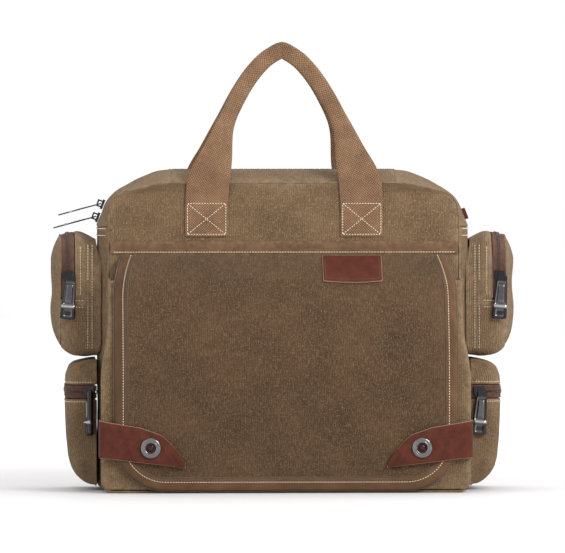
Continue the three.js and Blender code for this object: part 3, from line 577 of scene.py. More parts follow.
SIDES = ((-1, "left"), (1, "right"))
z = np.linspace(3.1, SIDE_TOP - 0.1, 60)[:, None]
v = np.linspace(0, 1, 30)[None, :]
for side, word in SIDES:
    cloth(f"side_panel_{word}", side_surface(side, z, v, -0.8), CANVAS_CLOTH,
          replaces=[f"side_gusset_{word}"], out=side)
    cloth(f"top_corner_{word}", corner_points(side), CANVAS_CLOTH,
          replaces=[f"zip_gusset_corner_{word}"], out=-side)


def seam_roll(name, path, radius, material, body, seed, sides=8):
    """A sewn ridge: a thin soft roll that follows a seam."""
    path = np.asarray(path, float)
    tangent = np.gradient(path, axis=0)
    tangent /= np.linalg.norm(tangent, axis=1)[:, None]
    first = np.cross(tangent, (0, 1, 0) if np.ptp(path[:, 1]) < 60 else (1, 0, 0))
    first /= np.linalg.norm(first, axis=1)[:, None]
    second = np.cross(tangent, first)
    run = run_along(path)
    size = radius * (1 + 0.12 * ripple(run, run * 0, 14, seed))[:, None, None]
    angles = np.linspace(0, math.tau, sides, endpoint=False)[None, :, None]
    rings = path[:, None] + size * (first[:, None] * np.cos(angles) + second[:, None] * np.sin(angles))
    uv = np.stack(np.broadcast_arrays(angles[..., 0] * radius, run[:, None]), -1)
    return add(name, rings.reshape(-1, 3), tube_faces(len(path), sides), material, body,
               uv=uv.reshape(-1, 2), wear_and_highlight=np.full(rings.shape[0] * sides, 0.7))


def panel_outline(inset=0.0):
    """The front and back panels' outline from the bottom left over the top, as (x, z)."""
    up = [(-float(panel_half(h)) + inset, h) for h in np.linspace(4, SIDE_TOP, 40)]
    corner = [(-p[0] + inset * 0.8, p[1] - inset * 0.7) for p in EDGE[::-1]]
    half = np.array(up + corner[1:], float)
    half[-1, 1] = PANEL_TOP - inset
    line = np.vstack([half, [(0, PANEL_TOP - inset)], (half * (-1, 1))[::-1]])
    return resample(line, 320)


x, z = panel_outline().T
for word, y in (("front", FRONT_Y + 0.7), ("back", BACK_Y - 0.7)):
    seam_roll(f"seam_{word}", place(x, y, z), 1.1, CANVAS_CLOTH, "bag", seed=15)
x, z = panel_outline(6.0).T
stitches("back_stitch", place(x, back_y(x, z) + 0.2, z), (0, 1, 0), DARK_THREAD, "bag", pitch=3.2, seed=16)
for side, word in SIDES:
    v = np.linspace(0.03, 0.97, 60)
    for k, z in enumerate((233.0, 227.0)):
        line = side_surface(side, z, v, -0.4)
        stitches(f"side_stitch_{word}_{k}", line, (side, 0, 0), THREAD, "bag", width=0.8, seed=17 + k)
    x, v = side * np.linspace(100.6, 106, 4)[None, :], np.linspace(0.02, 0.98, 20)[:, None]
    ends = place(side * 100.0, np.linspace(GUSSET_Y0, GUSSET_Y0 + GUSSET_DEPTH, 40),
                 PANEL_TOP - 0.75 + CROWN * arch(np.linspace(0, 1, 40)))
    seam_roll(f"top_seam_{word}", ends, 0.8, CANVAS_CLOTH, "bag", seed=19)
    under = PANEL_TOP + CROWN * arch(v) - 2.9 - 0.1 * np.abs(np.abs(x) - 100)
    cloth(f"top_lap_{word}", place(x, GUSSET_Y0 + GUSSET_DEPTH * v, under), CANVAS_CLOTH, thick=1.0, out=side)


def base_points():
    x = np.linspace(-153, 153, 60)[None, :]
    v = np.linspace(0, 1, 24)[:, None]
    inset = 7 * smooth(np.abs(x), 144, 153)
    y = mix(FRONT_Y + 0.4 + inset, BACK_Y - 0.4 - inset, v)
    return place(x, y, 0.15)


cloth("base", base_points(), CANVAS_CLOTH, replaces=["base_gusset"], out=-1)


# ---------- Zips ----------

def teeth(name, path, outward, body, size=(1.7, 1.0, 1.1), pitch=1.6):
    """A row of zip coil along a path."""
    path = resample(path, max(3, int(run_along(path)[-1] / pitch)))
    outward = np.asarray(outward, float)
    outward = np.tile(outward, (len(path), 1)) if outward.ndim == 1 else resample(outward, len(path))
    verts, faces = [], []
    tangent = np.gradient(path, axis=0)
    for at, along, up in zip(path, tangent, outward):
        along = along / np.linalg.norm(along)
        up = up / np.linalg.norm(up)
        across = np.cross(along, up)
        base = len(verts)
        for lift, k in ((-0.3, 1.0), (0.75, 1.0), (1.0, 0.6)):
            for a, b in ((-1, -1), (1, -1), (1, 1), (-1, 1)):
                verts.append(at + across * a * size[0] / 2 * k + along * b * size[1] / 2 * k
                             + up * lift * size[2] / 2)
        for r in (0, 4):
            for i in range(4):
                j = (i + 1) % 4
                faces.append((base + r + i, base + r + j, base + r + 4 + j, base + r + 4 + i))
        faces.append((base + 3, base + 2, base + 1, base))
        faces.append((base + 8, base + 9, base + 10, base + 11))
    return add(name, verts, faces, COIL, body)


def crown_z(y):
    return PANEL_TOP + CROWN * arch((y - GUSSET_Y0) / GUSSET_DEPTH)


def mirror_y(points, rear):
    points = np.array(points, float)
    if rear:
        points[..., 1] = 2 * MIDDLE_Y - points[..., 1]
    return points


for rear, word in ((False, "front"), (True, "rear")):
    body = f"strip_{word}"
    out = -1 if rear else 1
    x = np.linspace(-STRIP_HALF, STRIP_HALF, 70)[None, :]
    y = np.linspace(-18.2, 18.9, 14)[:, None]
    z = crown_z(y) + 0.35 * ripple(x, y * 2, 40, 44 + rear) * ramp(y, -18, -8) * (1 - ramp(y, 10, 18))
    cloth(f"top_strip_{word}", mirror_y(place(x, y, z), rear), CANVAS_CLOTH, body,
          replaces=[f"zip_strip_{word}"], out=out)
    y = np.linspace(19.3, 24.0, 5)[:, None]
    cloth(f"top_zip_{word}", mirror_y(place(x, y, crown_z(y) - 0.4), rear), ZIP_TAPE, body, thick=1.2,
          replaces=[f"main_zip_{word}"], out=out)
    line = place(np.linspace(-98, 98, 80), 24.1, crown_z(24.1) - 0.5)
    teeth(f"top_teeth_{word}", mirror_y(line, rear), (0, 0, 1), body)
    line = place(np.linspace(-97, 97, 80), 16.6, crown_z(16.6))
    stitches(f"top_stitch_{word}", mirror_y(line, rear), (0, 0, 1), DARK_THREAD, body, seed=50)


# ---------- Front pocket, band and flap ----------

def pocket_face(z):
    return mix(POCKET_Y, MOUTH_Y, ramp(z, SLOPE_Z, MOUTH_Z) ** 1.6)


def pocket_half(z):
    return mix(163.5, 157.0, smooth(z, 100, 150))


z = np.linspace(2.8, MOUTH_Z, 60)[:, None]
u = np.linspace(-1, 1, 90)[None, :]
x = u * (pocket_half(z) - 10 + 10 * np.sqrt(1 - np.clip(1 - z / 10, 0, 1) ** 2))
sag = 0.7 * ripple(x, z, 60, 61) * (1 - np.abs(u) ** 6)
points = place(x, pocket_face(z) + 0.8 + sag, z)
cloth("pocket_panel", points, CANVAS_CLOTH, replaces=["front_pocket_panel"])


def rim_path(count):
    """The pocket's rim seen from the front: down one side, under, and up the other."""
    corner, low = 10.0, 163.5
    points = [(-pocket_half(h), h) for h in np.linspace(MOUTH_Z, corner, 60)]
    for a in np.linspace(0, math.pi / 2, 12)[1:]:
        points.append((-low + corner * (1 - math.cos(a)), corner * (1 - math.sin(a))))
    points = np.array(points, float)
    other = points[::-1] * (-1, 1)
    return resample(np.vstack([points, other]), count)


rim = rim_path(190)
v = np.linspace(0, 1, 18)[None, :]
near, far = pocket_face(rim[:, 1:]) + 3.7, FRONT_Y - GAP
fold = 0.8 * ripple(np.arange(190)[:, None] * 3.0, v * 40, 26, 71) * arch(v)
lift = 1 - smooth(rim[:, 1:], 0, 14)
x = rim[:, :1] - np.sign(rim[:, :1]) * (fold + 0.9) * (1 - lift)
points = place(x, mix(near, far, v), rim[:, 1:] + 0.1)
cloth("pocket_gusset", points, CANVAS_CLOTH, replaces=["front_pocket_gusset"])
points = place(rim[:, 0] * 0.995, pocket_face(rim[:, 1]) + 2.6, rim[:, 1] + 0.9)
seam_roll("pocket_seam", points, 1.2, CANVAS_CLOTH, "bag", seed=72)

x = np.linspace(-155, 155, 110)[None, :]
z = np.linspace(BAND_Z0, BAND_Z1, 7)[:, None]
roll = 0.5 * np.cos((z - BAND_Z0) / (BAND_Z1 - BAND_Z0) * math.tau)
wave = 0.2 * ripple(x, z, 30, 81)
y = FRONT_Y - GAP - CANVAS + 0.5 + roll * 0.6 + wave
cloth("band", place(x, y, z), TWILL, "bag", replaces=["top_band"], thick=1.8)
line = place(np.linspace(-152, 152, 120), FRONT_Y - GAP - CANVAS + 0.35, BAND_Z0 + 1.9)
stitches("band_stitch", line, (0, -1, 0), THREAD, "bag", width=0.8, sink=-0.15, seed=82)


def flap_face(z):
    z = np.asarray(z, float)
    low = pocket_face(np.minimum(z, MOUTH_Z)) - STANDOFF
    high = mix(low, FLAP_HINGE_Y - 1.3, np.minimum((z - MOUTH_Z) / (FLAP_TOP - MOUTH_Z), 1))
    return np.where(z < MOUTH_Z, low, high + 1.2 * ramp(z, FLAP_TOP, FLAP_SEAM))


def sewn_to_band(obj):
    """The flap's cloth and all that is sewn on it have their transforms baked into their meshes."""
    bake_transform(obj)


def taper(z):
    """How far the flap's sides draw in towards its hinge."""
    return 9 * ramp(z, 172, 212) ** 2


def flap_half(z, inset=0.0):
    radius, width = FLAP_CORNER - inset, FLAP_HALF - inset - taper(z)
    rise = radius - np.clip(np.asarray(z, float) - FLAP_BOTTOM - inset, 0, radius)
    return width - radius + np.sqrt(np.maximum(radius ** 2 - rise ** 2, 0))


def flap_y(x, z):
    """Front face of the flap: the CAD's slope with the soft dips and swells of hung cloth."""
    inside = 1 - np.clip(np.abs(x) / FLAP_HALF, 0, 1) ** 6
    hang = 0.9 * ripple(x, z * 0.45, 85, 91) + 0.35 * ripple(x, z, 34, 92)
    return flap_face(z) + 0.6 + 0.9 * hang * inside * smooth(z, 10, 60) * (1 - smooth(z, 175, 209))


t = np.linspace(0, 1, 84)
z = mix(FLAP_SEAM, FLAP_BOTTOM, 1 - (1 - t) ** 1.25)[:, None][::-1]
u = np.linspace(-1, 1, 110)[None, :]
x = u * flap_half(z)
sewn_to_band(cloth("flap_cloth", place(x, flap_y(x, z), z), FLAP_CLOTH, None, thick=FLAP,
                   replaces=["flap"], edge_wear=9))


def flap_edge(count, inset):
    """Points along the flap's edge at an inset: down the left, round the bottom, up the right."""
    radius = FLAP_CORNER - inset
    heights = np.linspace(BAND_Z0 - 0.2, FLAP_BOTTOM + FLAP_CORNER, 60)
    points = [(-(FLAP_HALF - inset - taper(h)), h) for h in heights]
    for a in np.linspace(0, math.pi / 2, 24)[1:]:
        points.append((-(FLAP_HALF - FLAP_CORNER + radius * math.cos(a)),
                       FLAP_BOTTOM + FLAP_CORNER - radius * math.sin(a)))
    points = np.array(points, float)
    return resample(np.vstack([points, points[::-1] * (-1, 1)]), count)


def on_flap(x, z, lift):
    return flap_y(x, z) - lift


def flap_line(count, inset, lift):
    """A line along the flap's edge at an inset, a lift in front of its cloth."""
    x, z = flap_edge(count, inset).T
    return place(x, on_flap(x, z, lift), z)


# The binding's section: inset from the flap's edge and height over its cloth.
BINDING_SECTION = ((-0.3, -0.6), (0.2, 0.9), (1.6, 1.9), (4.0, 2.15), (6.6, 1.75), (7.3, 1.5), (8.2, 1.75),
                   (9.6, 1.6), (10.6, 0.9), (10.9, -0.2))
rows = []
for inset, lift in BINDING_SECTION:
    row = flap_line(260, inset, lift)
    row[:, 1] += 0.14 * pucker(np.arange(260) * 2.9, 0, 9, 95)
    rows.append(row)
sewn_to_band(cloth("flap_edging", np.array(rows), BINDING, None, thick=0.9, replaces=["flap_binding"],
                   edge_wear=1.6))
line = flap_line(320, 7.3, 1.65)
sewn_to_band(stitches("flap_stitch", line, (0, -1, 0), THREAD, None, width=0.75, sink=-0.1, seed=96))
# Painted shadow: a thin dark roll just behind the flap's outer edge stands in for the shade between the flap
# and the pocket.
line = flap_line(260, -0.5, -1.5)
sewn_to_band(seam_roll("flap_edge_shadow_line", line, 0.7, DARK_THREAD, None, seed=94, sides=6))
# Painted shadow: a thin dark roll at the binding's inner edge stands in for the shade under the binding's
# fold.
line = flap_line(260, 11.4, 0.1)
sewn_to_band(seam_roll("flap_binding_shadow_line", line, 0.45, DARK_THREAD, None, seed=98, sides=6))

x = np.linspace(33.5, 86.5, 26)[None, :]
v = np.linspace(0, 1, 14)[:, None]
z = mix(187.2 - 1.6 * arch((x - 33.5) / 53), 210.0, v)
y = on_flap(x, z, 2.2) - 0.25 * ripple(x, z, 24, 99)
cloth("label", place(x, y, z), LEATHER_SKIN, "flap", thick=1.6,
      replaces=["flap_label"], edge_wear=0.9)
inner = np.array([(36, 208), (36, 189.6), (48, 188.7), (72, 188.7), (84, 189.6), (84, 208)], float)
x, z = resample(inner, 60).T
stitches("label_stitch", place(x, on_flap(x, z, 2.3), z), (0, -1, 0), DARK_THREAD, "flap", width=0.5, seed=97)


# ---------- Corner tabs and snaps ----------

def tab_points(side):
    front = pocket_face(SNAP_Z) - STANDOFF - 1.2 - 1.8 - 0.6
    outer, turn, tip = 165.6, 6.0, 89.0
    path = [(outer, front + 26), (outer, front + turn)]
    for a in np.linspace(0, math.pi / 2, 8)[1:]:
        path.append((outer - turn + turn * math.cos(a), front + turn - turn * math.sin(a)))
    path.append((tip, front))
    path = resample(np.array(path), 56)
    x = path[:, :1]
    top = np.interp(x, (tip, 91, 96, 103, 110, 129, 158, outer), (24, 29, 37, 45, 51.5, 58.3, 63, 64.5))
    low = np.interp(x, (tip, 133, 152, outer), (22.5, 27.5, 30, 31))
    v = np.linspace(0, 1, 20)[None, :]
    curl = 0.25 * ripple(x, v * 40, 30, 101 + side)
    return place(side * x, path[:, 1:] + curl, mix(low, top, v))


for side, word in SIDES:
    tab = cloth(f"tab_{word}", tab_points(side), LEATHER_SKIN, None, thick=1.6,
                replaces=[f"corner_tab_{word}"], out=side, edge_wear=0.9)
    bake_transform(tab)


def turned(name, centre, profile, material, body, replaces=(), count=40):
    """A round metal part facing the front, its section given as (radius, distance out)."""
    angles = np.linspace(0, math.tau, count, endpoint=False)
    rings = [[(centre[0] + r * math.cos(a), centre[1] - d, centre[2] + r * math.sin(a)) for a in angles]
             for r, d in profile]
    faces = grid_faces(len(profile), count, wrap=True)
    if profile[-1][0] < 1:
        faces.append(tuple((len(profile) - 1) * count + k for k in range(count)))
    return add(name, np.array(rings).reshape(-1, 3), faces, material, body, replaces)


RING = [(9.0, -0.2), (9.1, 0.5), (8.8, 1.0), (8.2, 1.35), (7.5, 1.45), (6.6, 1.3), (6.2, 1.05), (5.9, 1.3),
        (5.2, 1.35), (4.7, 1.1), (4.5, 0.5), (4.4, -0.3)]
STUD = [(4.3, -0.2), (4.1, 0.1), (3.6, 0.15), (3.0, -0.1), (2.9, 0.6), (2.7, 1.2), (2.2, 1.6), (1.3, 1.75),
        (0.4, 1.8)]
for side, word in SIDES:
    low, high = (np.array(corner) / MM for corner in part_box(f"snap_ring_{word}"))
    centre = (low + high) / 2
    centre[1] = high[1] - 0.2
    turned(f"snap_rim_{word}", centre, RING, STEEL, f"corner_tab_{word}", [f"snap_ring_{word}"])
    low, high = (np.array(corner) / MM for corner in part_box(f"snap_stud_{word}"))
    at = (centre[0], low[1] + 1.7, centre[2])
    turned(f"snap_post_{word}", at, STUD, GUNMETAL, "flap", [f"snap_stud_{word}"])


# ---------- Handles ----------

FOOT = [(69, FOOT_Z0), (69, FOOT_Z0 + 0.4), (69, FOOT_Z0 + 1.5), (69, 236), (69, 247)]
ARM = [(69, 257), (67, 276), (60.5, 296), (51, 327), (34, 360), (17, 381.5), (0, 393)]
RISE = np.vstack([FOOT, catmull(ARM, 56)])


def handle_points(rear):
    """Rings round the folded webbing, from one foot over the top to the other."""
    centre = np.vstack([RISE, (RISE[:-1] * (-1, 1))[::-1]])
    tangent = np.gradient(centre, axis=0)
    tangent /= np.linalg.norm(tangent, axis=1)[:, None]
    inward = np.stack([-tangent[:, 1], tangent[:, 0]], 1)
    height = centre[:, 1]
    width = mix(38.0, 15.0, smooth(height, 268, 338)) / 2
    thick = mix(2.0, 8.4, smooth(height, 285, 345)) / 2
    lean = smooth(height, PANEL_TOP + 3, 392)
    y = mix(-23.6, 19.6, lean)
    folded = smooth(height, 285, 335)
    rings, across = [], []
    angles = np.linspace(0, math.tau, 28, endpoint=False)
    for i in range(len(centre)):
        c, s = np.cos(angles), np.sin(angles)
        power = mix(0.22, 0.62, folded[i])
        w = np.sign(c) * np.abs(c) ** power * width[i]
        d = np.sign(s) * np.abs(s) ** power * thick[i]
        groove = 1.5 * folded[i] * np.exp(-(angles / 0.35) ** 2)
        w = w - groove * np.sign(c)
        ring = np.stack([centre[i, 0] + inward[i, 0] * w, y[i] + d, centre[i, 1] + inward[i, 1] * w], 1)
        rings.append(ring)
        across.append(w + np.sign(d) * 0.3)
    rings = np.array(rings)
    if rear:
        rings[..., 1] = 2 * MIDDLE_Y - rings[..., 1]
    return rings, np.array(across), centre


for rear, word in ((False, "front"), (True, "rear")):
    rings, across, centre = handle_points(rear)
    rows, columns = rings.shape[:2]
    run = run_along(centre)
    uv = np.stack([across, np.repeat(run[:, None], columns, 1)], 2).reshape(-1, 2)
    feet = [f"handle_{word}_foot_{hand}" for _, hand in SIDES]
    obj = add(f"handle_webbing_{word}", rings.reshape(-1, 3), tube_faces(rows, columns), WEB, None,
              [f"handle_{word}", *feet], uv=uv, wear_and_highlight=np.zeros(rows * columns))
    soften(obj)
    hinge_y = mirror_y([[0, -23.6, 0]], rear)[0, 1] * MM
    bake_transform(obj)
    outward = 1 if rear else -1
    face_y = BACK_Y + GAP + WEBBING if rear else FRONT_Y - GAP - WEBBING
    for side, hand in SIDES:
        a, b, lo, hi = side * FOOT_X - 17, side * FOOT_X + 17, FOOT_Z0 + 2, FOOT_Z1 - 2.5
        box_line = [(a, lo), (b, lo), (b, hi), (a, hi), (a, lo)]
        crosses = (("cross_a", [(a, lo), (b, hi)]), ("cross_b", [(a, hi), (b, lo)]))
        for label, shape in (("box", box_line), *crosses):
            x, z = resample(shape, 60).T
            path = place(x, face_y + outward * 0.05, z)
            stitches(f"foot_{label}_{word}_{hand}", path, (0, outward, 0), THREAD, "bag", width=0.75,
                     seed=130 + side)


# ---------- Upper side pockets ----------

def upper_outline(count):
    """The pocket's outline seen from the side, as (y, z)."""
    y0, y1, z0, z1 = UPPER["y0"], UPPER["y1"], UPPER["z0"], UPPER["z1"]
    points = []
    for cy, cz, r, start in ((y1 - UPPER["r0"], z0 + UPPER["r0"], UPPER["r0"], -90),
                             (y1 - UPPER["r1"], z1 - UPPER["r1"], UPPER["r1"], 0),
                             (y0 + UPPER["r1"], z1 - UPPER["r1"], UPPER["r1"], 90),
                             (y0 + UPPER["r0"], z0 + UPPER["r0"], UPPER["r0"], 180)):
        for a in np.radians(np.linspace(start, start + 90, 14)):
            points.append((cy + r * math.cos(a), cz + r * math.sin(a)))
    points.append(points[0])
    return resample(np.array(points), count)


MIDDLE_Z = (UPPER["z0"] + UPPER["z1"]) / 2
FACE_X = 198.4


def face_inset(z):
    """How far inside the outline the outer face starts: little above, more below."""
    return mix(9.0, 3.0, smooth(z, 140, 190))


def wall_inset(x, z):
    """How far the wall draws in from the outline, at the bag and towards the outer face."""
    at_bag = 7.0 * smooth(z, 185, 220) * (1 - smooth(x, 164, 184))
    return at_bag + face_inset(z) * ramp(x, 184, FACE_X) ** 2.2


def face_half(z):
    """Half width of the outer face at a height."""
    low, high = UPPER["z0"] + face_inset(0), UPPER["z1"] - face_inset(300)
    width = (UPPER["y1"] - UPPER["y0"]) / 2 - face_inset(z)
    r = np.where(z > MIDDLE_Z, UPPER["r1"] - 3, UPPER["r0"] + 4)
    rise = r - np.minimum(np.minimum(z - low, high - z), r)
    return width - r + np.sqrt(np.maximum(r ** 2 - rise ** 2, 0))


def face_points(side, seed):
    """The pocket's outer face, standing out from its rim like a soft pillow."""
    t = (1 - np.cos(np.linspace(0, math.pi, 46))) / 2
    z = mix(UPPER["z0"] + face_inset(0) + 0.1, UPPER["z1"] - face_inset(300) - 0.1, t)[:, None]
    u = np.sin(np.linspace(-math.pi / 2, math.pi / 2, 40))[None, :]
    y = MIDDLE_Y + u * face_half(z)
    edge = np.minimum(face_half(z) - np.abs(y - MIDDLE_Y), np.minimum(z - z[0], z[-1] - z))
    t = np.clip(edge / 22, 0, 1)
    x = FACE_X + 7.6 * np.sin(t * math.pi / 2) ** 0.9 + 0.9 * ripple(y, z, 34, seed) * t
    flat = np.stack(np.broadcast_arrays(y - MIDDLE_Y, z), -1)
    return place(side * x, y, z), flat


def bag_side(y):
    return HALF_WIDTH + SIDE_BULGE * flat_arch(np.clip((y - GUSSET_Y0) / GUSSET_DEPTH, 0, 1)) + 0.4


def outline_span(low, high):
    """The part of the outline between two heights, in one run over the top or under the bottom."""
    loop = upper_outline(600)[:-1]
    keep = (loop[:, 1] >= low) & (loop[:, 1] <= high)
    first = int(np.argmax(keep & ~np.roll(keep, 1)))
    return np.roll(loop, -first, axis=0)[: int(keep.sum())]


CENTRE = np.array([MIDDLE_Y, MIDDLE_Z])


def outward_of(path):
    """Directions straight out from the pocket's centre, as (0, y, z)."""
    away = (path - CENTRE) / np.linalg.norm(path - CENTRE, axis=1)[:, None]
    return place(0.0, away[:, 0], away[:, 1])


def pocket_wall(side, path, x0, x1, steps, seed, soft=0.8, lift=-0.4):
    """The pocket's wall along a path of its outline, from x0 (or the bag's side) out to x1."""
    q = np.linspace(0, 1, steps)[None, :]
    start = bag_side(path[:, :1]) if x0 is None else x0
    x = mix(start, x1, q)
    dent = soft * ripple(np.arange(len(path))[:, None] * 2.0, q * 40, 26, seed) * arch(q) + lift
    dent = dent - wall_inset(x, path[:, 1:])
    away = outward_of(path)
    return place(side * x, path[:, :1] + away[:, 1:2] * dent, path[:, 1:] + away[:, 2:] * dent)


for side, word in SIDES:
    name = f"upper_pocket_{word}"
    lid = UPPER["lid"]
    below = resample(outline_span(0, lid), 100)
    above = resample(outline_span(lid + 0.3, 300), 90)
    lapped = resample(outline_span(lid - 6, 300), 100)
    cloth(f"{name}_bowl", pocket_wall(side, below, None, 198.6, 16, 140), POCKET_CLOTH, thick=1.8,
          replaces=[f"{name}_body"], out=-side)
    cloth(f"{name}_arch", pocket_wall(side, lapped, None, 186.0, 10, 142, lift=0.1), POCKET_CLOTH,
          thick=1.6, out=-side)
    face, flat = face_points(side, 141)
    cover = cloth(f"{name}_cover", face, POCKET_CLOTH, None, thick=1.8, replaces=[f"{name}_lid"],
                  out=side, uv=flat)
    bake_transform(cover)
    rim_at = pocket_wall(side, above, FACE_X, FACE_X + 0.01, 2, 143, soft=0.0)[:, 0]
    seam_roll(f"{name}_rim", rim_at, 1.0, POCKET_CLOTH, f"{name}_lid", seed=144)
    for label, x0, x1, edge_x, body in (("inner", 186.4, 191.8, 191.5, "bag"),
                                        ("outer", 192.7, 198.0, 193.0, f"{name}_lid")):
        tape = pocket_wall(side, above, x0, x1, 5, 143, soft=0.0)
        cloth(f"{name}_tape_{label}", tape, ZIP_TAPE, body, thick=1.1,
              replaces=[f"{name}_zip_{label}"], out=-side)
        line = pocket_wall(side, above, edge_x, edge_x + 0.01, 2, 143, soft=0.0, lift=-0.1)[:, 0]
        teeth(f"{name}_teeth_{label}", line, outward_of(above), body)
    front = UPPER["y0"] - 0.1
    for k, (x, z0, z1) in enumerate(((181.0, 174, 217), (170.5, 126, 219), (174.3, 126, 219))):
        line = place(side * x, front, np.linspace(z0, z1, 40))
        stitches(f"{name}_seam_{k}", line, (0, -1, 0), THREAD, "bag", seed=150 + k)
    for k, z in enumerate((169.0, 163.2)):
        line = place(side * np.linspace(178, 197, 30), front, z)
        stitches(f"{name}_bar_{k}", line, (0, -1, 0), THREAD, "bag", seed=160 + k)


# ---------- Lower side pockets ----------

def lower_plan(count):
    """The pocket's outline from above, as (x, y), from its front beside the bag round to its rear."""
    y0, y1, x1, r = LOWER["y0"], LOWER["y1"], LOWER["outer"], LOWER["corner"]
    points = [(LOWER["seat"], y0)]
    for a in np.radians(np.linspace(-90, 0, 12)):
        points.append((x1 - r + r * math.cos(a), y0 + r + r * math.sin(a)))
    for a in np.radians(np.linspace(0, 90, 12)):
        points.append((x1 - r + r * math.cos(a), y1 - r + r * math.sin(a)))
    points.append((LOWER["seat"], y1))
    return resample(np.array(points), count)


def lower_reach(z):
    """How far out the pocket stands at a height, as a share of its CAD box."""
    heights = [4.5, 8, 14, 21, 30, 49, 78, 90, 102, 110, 114]
    outers = [172.0, 178.5, 185.0, 189.0, 191.2, 193.0, 194.2, 194.4, 193.4, 190.6, 186.0]
    return (np.interp(z, heights, outers) - 166.0) / (LOWER["outer"] - 166.0)


def lower_points(side, heights, seed, soft=0.7, rows_in=0):
    """Rows round the pocket at some heights, and then rows_in more that close it over the top."""
    plan = lower_plan(96)
    inner_x = LOWER["inner"]
    rows = []
    for z in heights:
        k = lower_reach(z)
        shrink = 1 - 0.07 * (1 - smooth(z, 4, 26))
        x = inner_x + (plan[:, 0] - inner_x) * k
        y = MIDDLE_Y + (plan[:, 1] - MIDDLE_Y) * shrink
        dent = soft * ripple(np.arange(96) * 2.0, z, 28, seed)
        rows.append(place(side * np.maximum(x - 0.5 * np.abs(dent), inner_x), y, z))
    top = rows[-1]
    for q in np.linspace(0, 1, rows_in + 1)[1:]:
        inner = top.copy()
        inner[:, 0] = side * mix(np.abs(top[:, 0]), LOWER["seat"], q)
        inner[:, 2] = top[:, 2] + 3.6 * math.sin(q * math.pi / 2)
        rows.append(inner)
    return np.array(rows)


for side, word in SIDES:
    name = f"lower_pocket_{word}"
    shell = lower_points(side, np.r_[5.2, np.linspace(8, 30, 10), np.linspace(34, 81.5, 22)], 170)
    under = shell[0].copy()
    under[:, 0] = side * 166.6
    shell = np.concatenate([under[None], shell])
    cloth(f"{name}_bag", shell, POCKET_CLOTH, thick=1.8, replaces=[f"{name}_shell"], out=side)
    cap = lower_points(side, np.linspace(94.4, 113.4, 14), 172, rows_in=6)
    cloth(f"{name}_hood", cap, POCKET_CLOTH, f"{name}_cap", thick=1.8, replaces=[f"{name}_cap"], out=side)
    for label, z0, z1, body, tooth in (("lower", 82.1, 87.4, "bag", 87.2),
                                       ("upper", 88.6, 93.9, f"{name}_cap", 88.8)):
        tape = lower_points(side, np.linspace(z0, z1, 5), 173, soft=0.0)
        cloth(f"{name}_tape_{label}", tape, ZIP_TAPE, body, thick=1.1,
              replaces=[f"{name}_zip_{label}"], out=side)
        line = lower_points(side, [tooth], 173, soft=0.0)[0]
        away = place(line[:, 0] - side * 150, line[:, 1] - MIDDLE_Y, 0.0)
        away[:, 0] *= 0.2 + (np.abs(line[:, 0]) > 190) * 4
        teeth(f"{name}_teeth_{label}", line, away, body)
    for k, (z, body) in enumerate(((79.2, "bag"), (96.6, f"{name}_cap"))):
        line = lower_points(side, [z], 170 if k == 0 else 172)[0]
        away = place(line[:, 0] - side * 150, line[:, 1] - MIDDLE_Y, 0.0)
        stitches(f"{name}_seam_{k}", line[3:-3], away[3:-3], THREAD, body, sink=-0.1, seed=180 + k)


# ---------- Zip pulls ----------

def pull_relief(s, w):
    """Height of a pull's face at a share of its length and of its half width."""
    step = lambda x, at, soft=0.03: smooth(x, at - soft, at + soft)
    frame = step(np.abs(w), 0.74, 0.08)
    window = step(s, 0.17) * (1 - step(s, 0.66)) * (1 - frame)
    block = step(s, 0.24) * (1 - step(s, 0.61)) * (1 - step(np.abs(w), 0.48, 0.07))
    ridge = np.exp(-((s - 0.71) / 0.022) ** 2)
    slot = step(s, 0.79) * (1 - step(s, 0.93)) * (1 - step(np.abs(w), 0.5, 0.09))
    return 1.0 - 0.75 * window + 0.85 * block + 0.6 * ridge - 0.7 * slot


def pull_points(node, hinge):
    """Corners, axes and size of a pull, read from where its solid lies."""
    mesh = NODES[node].data
    at = np.zeros(len(mesh.vertices) * 3)
    mesh.vertices.foreach_get("co", at)
    at = at.reshape(-1, 3) / MM
    middle = (at.max(0) + at.min(0)) / 2
    along, across, out = np.linalg.svd(at - at.mean(0), full_matrices=False)[2]
    along = along * np.sign((middle - hinge) @ along)
    outwards = middle - np.array([0, MIDDLE_Y, middle[2]])
    outwards[1] *= 3
    out = out * np.sign(out @ outwards)
    across = np.cross(out, along)
    spans = [at @ axis for axis in (along, across, out)]
    return along, across, out, [span.min() for span in spans], [span.max() for span in spans]


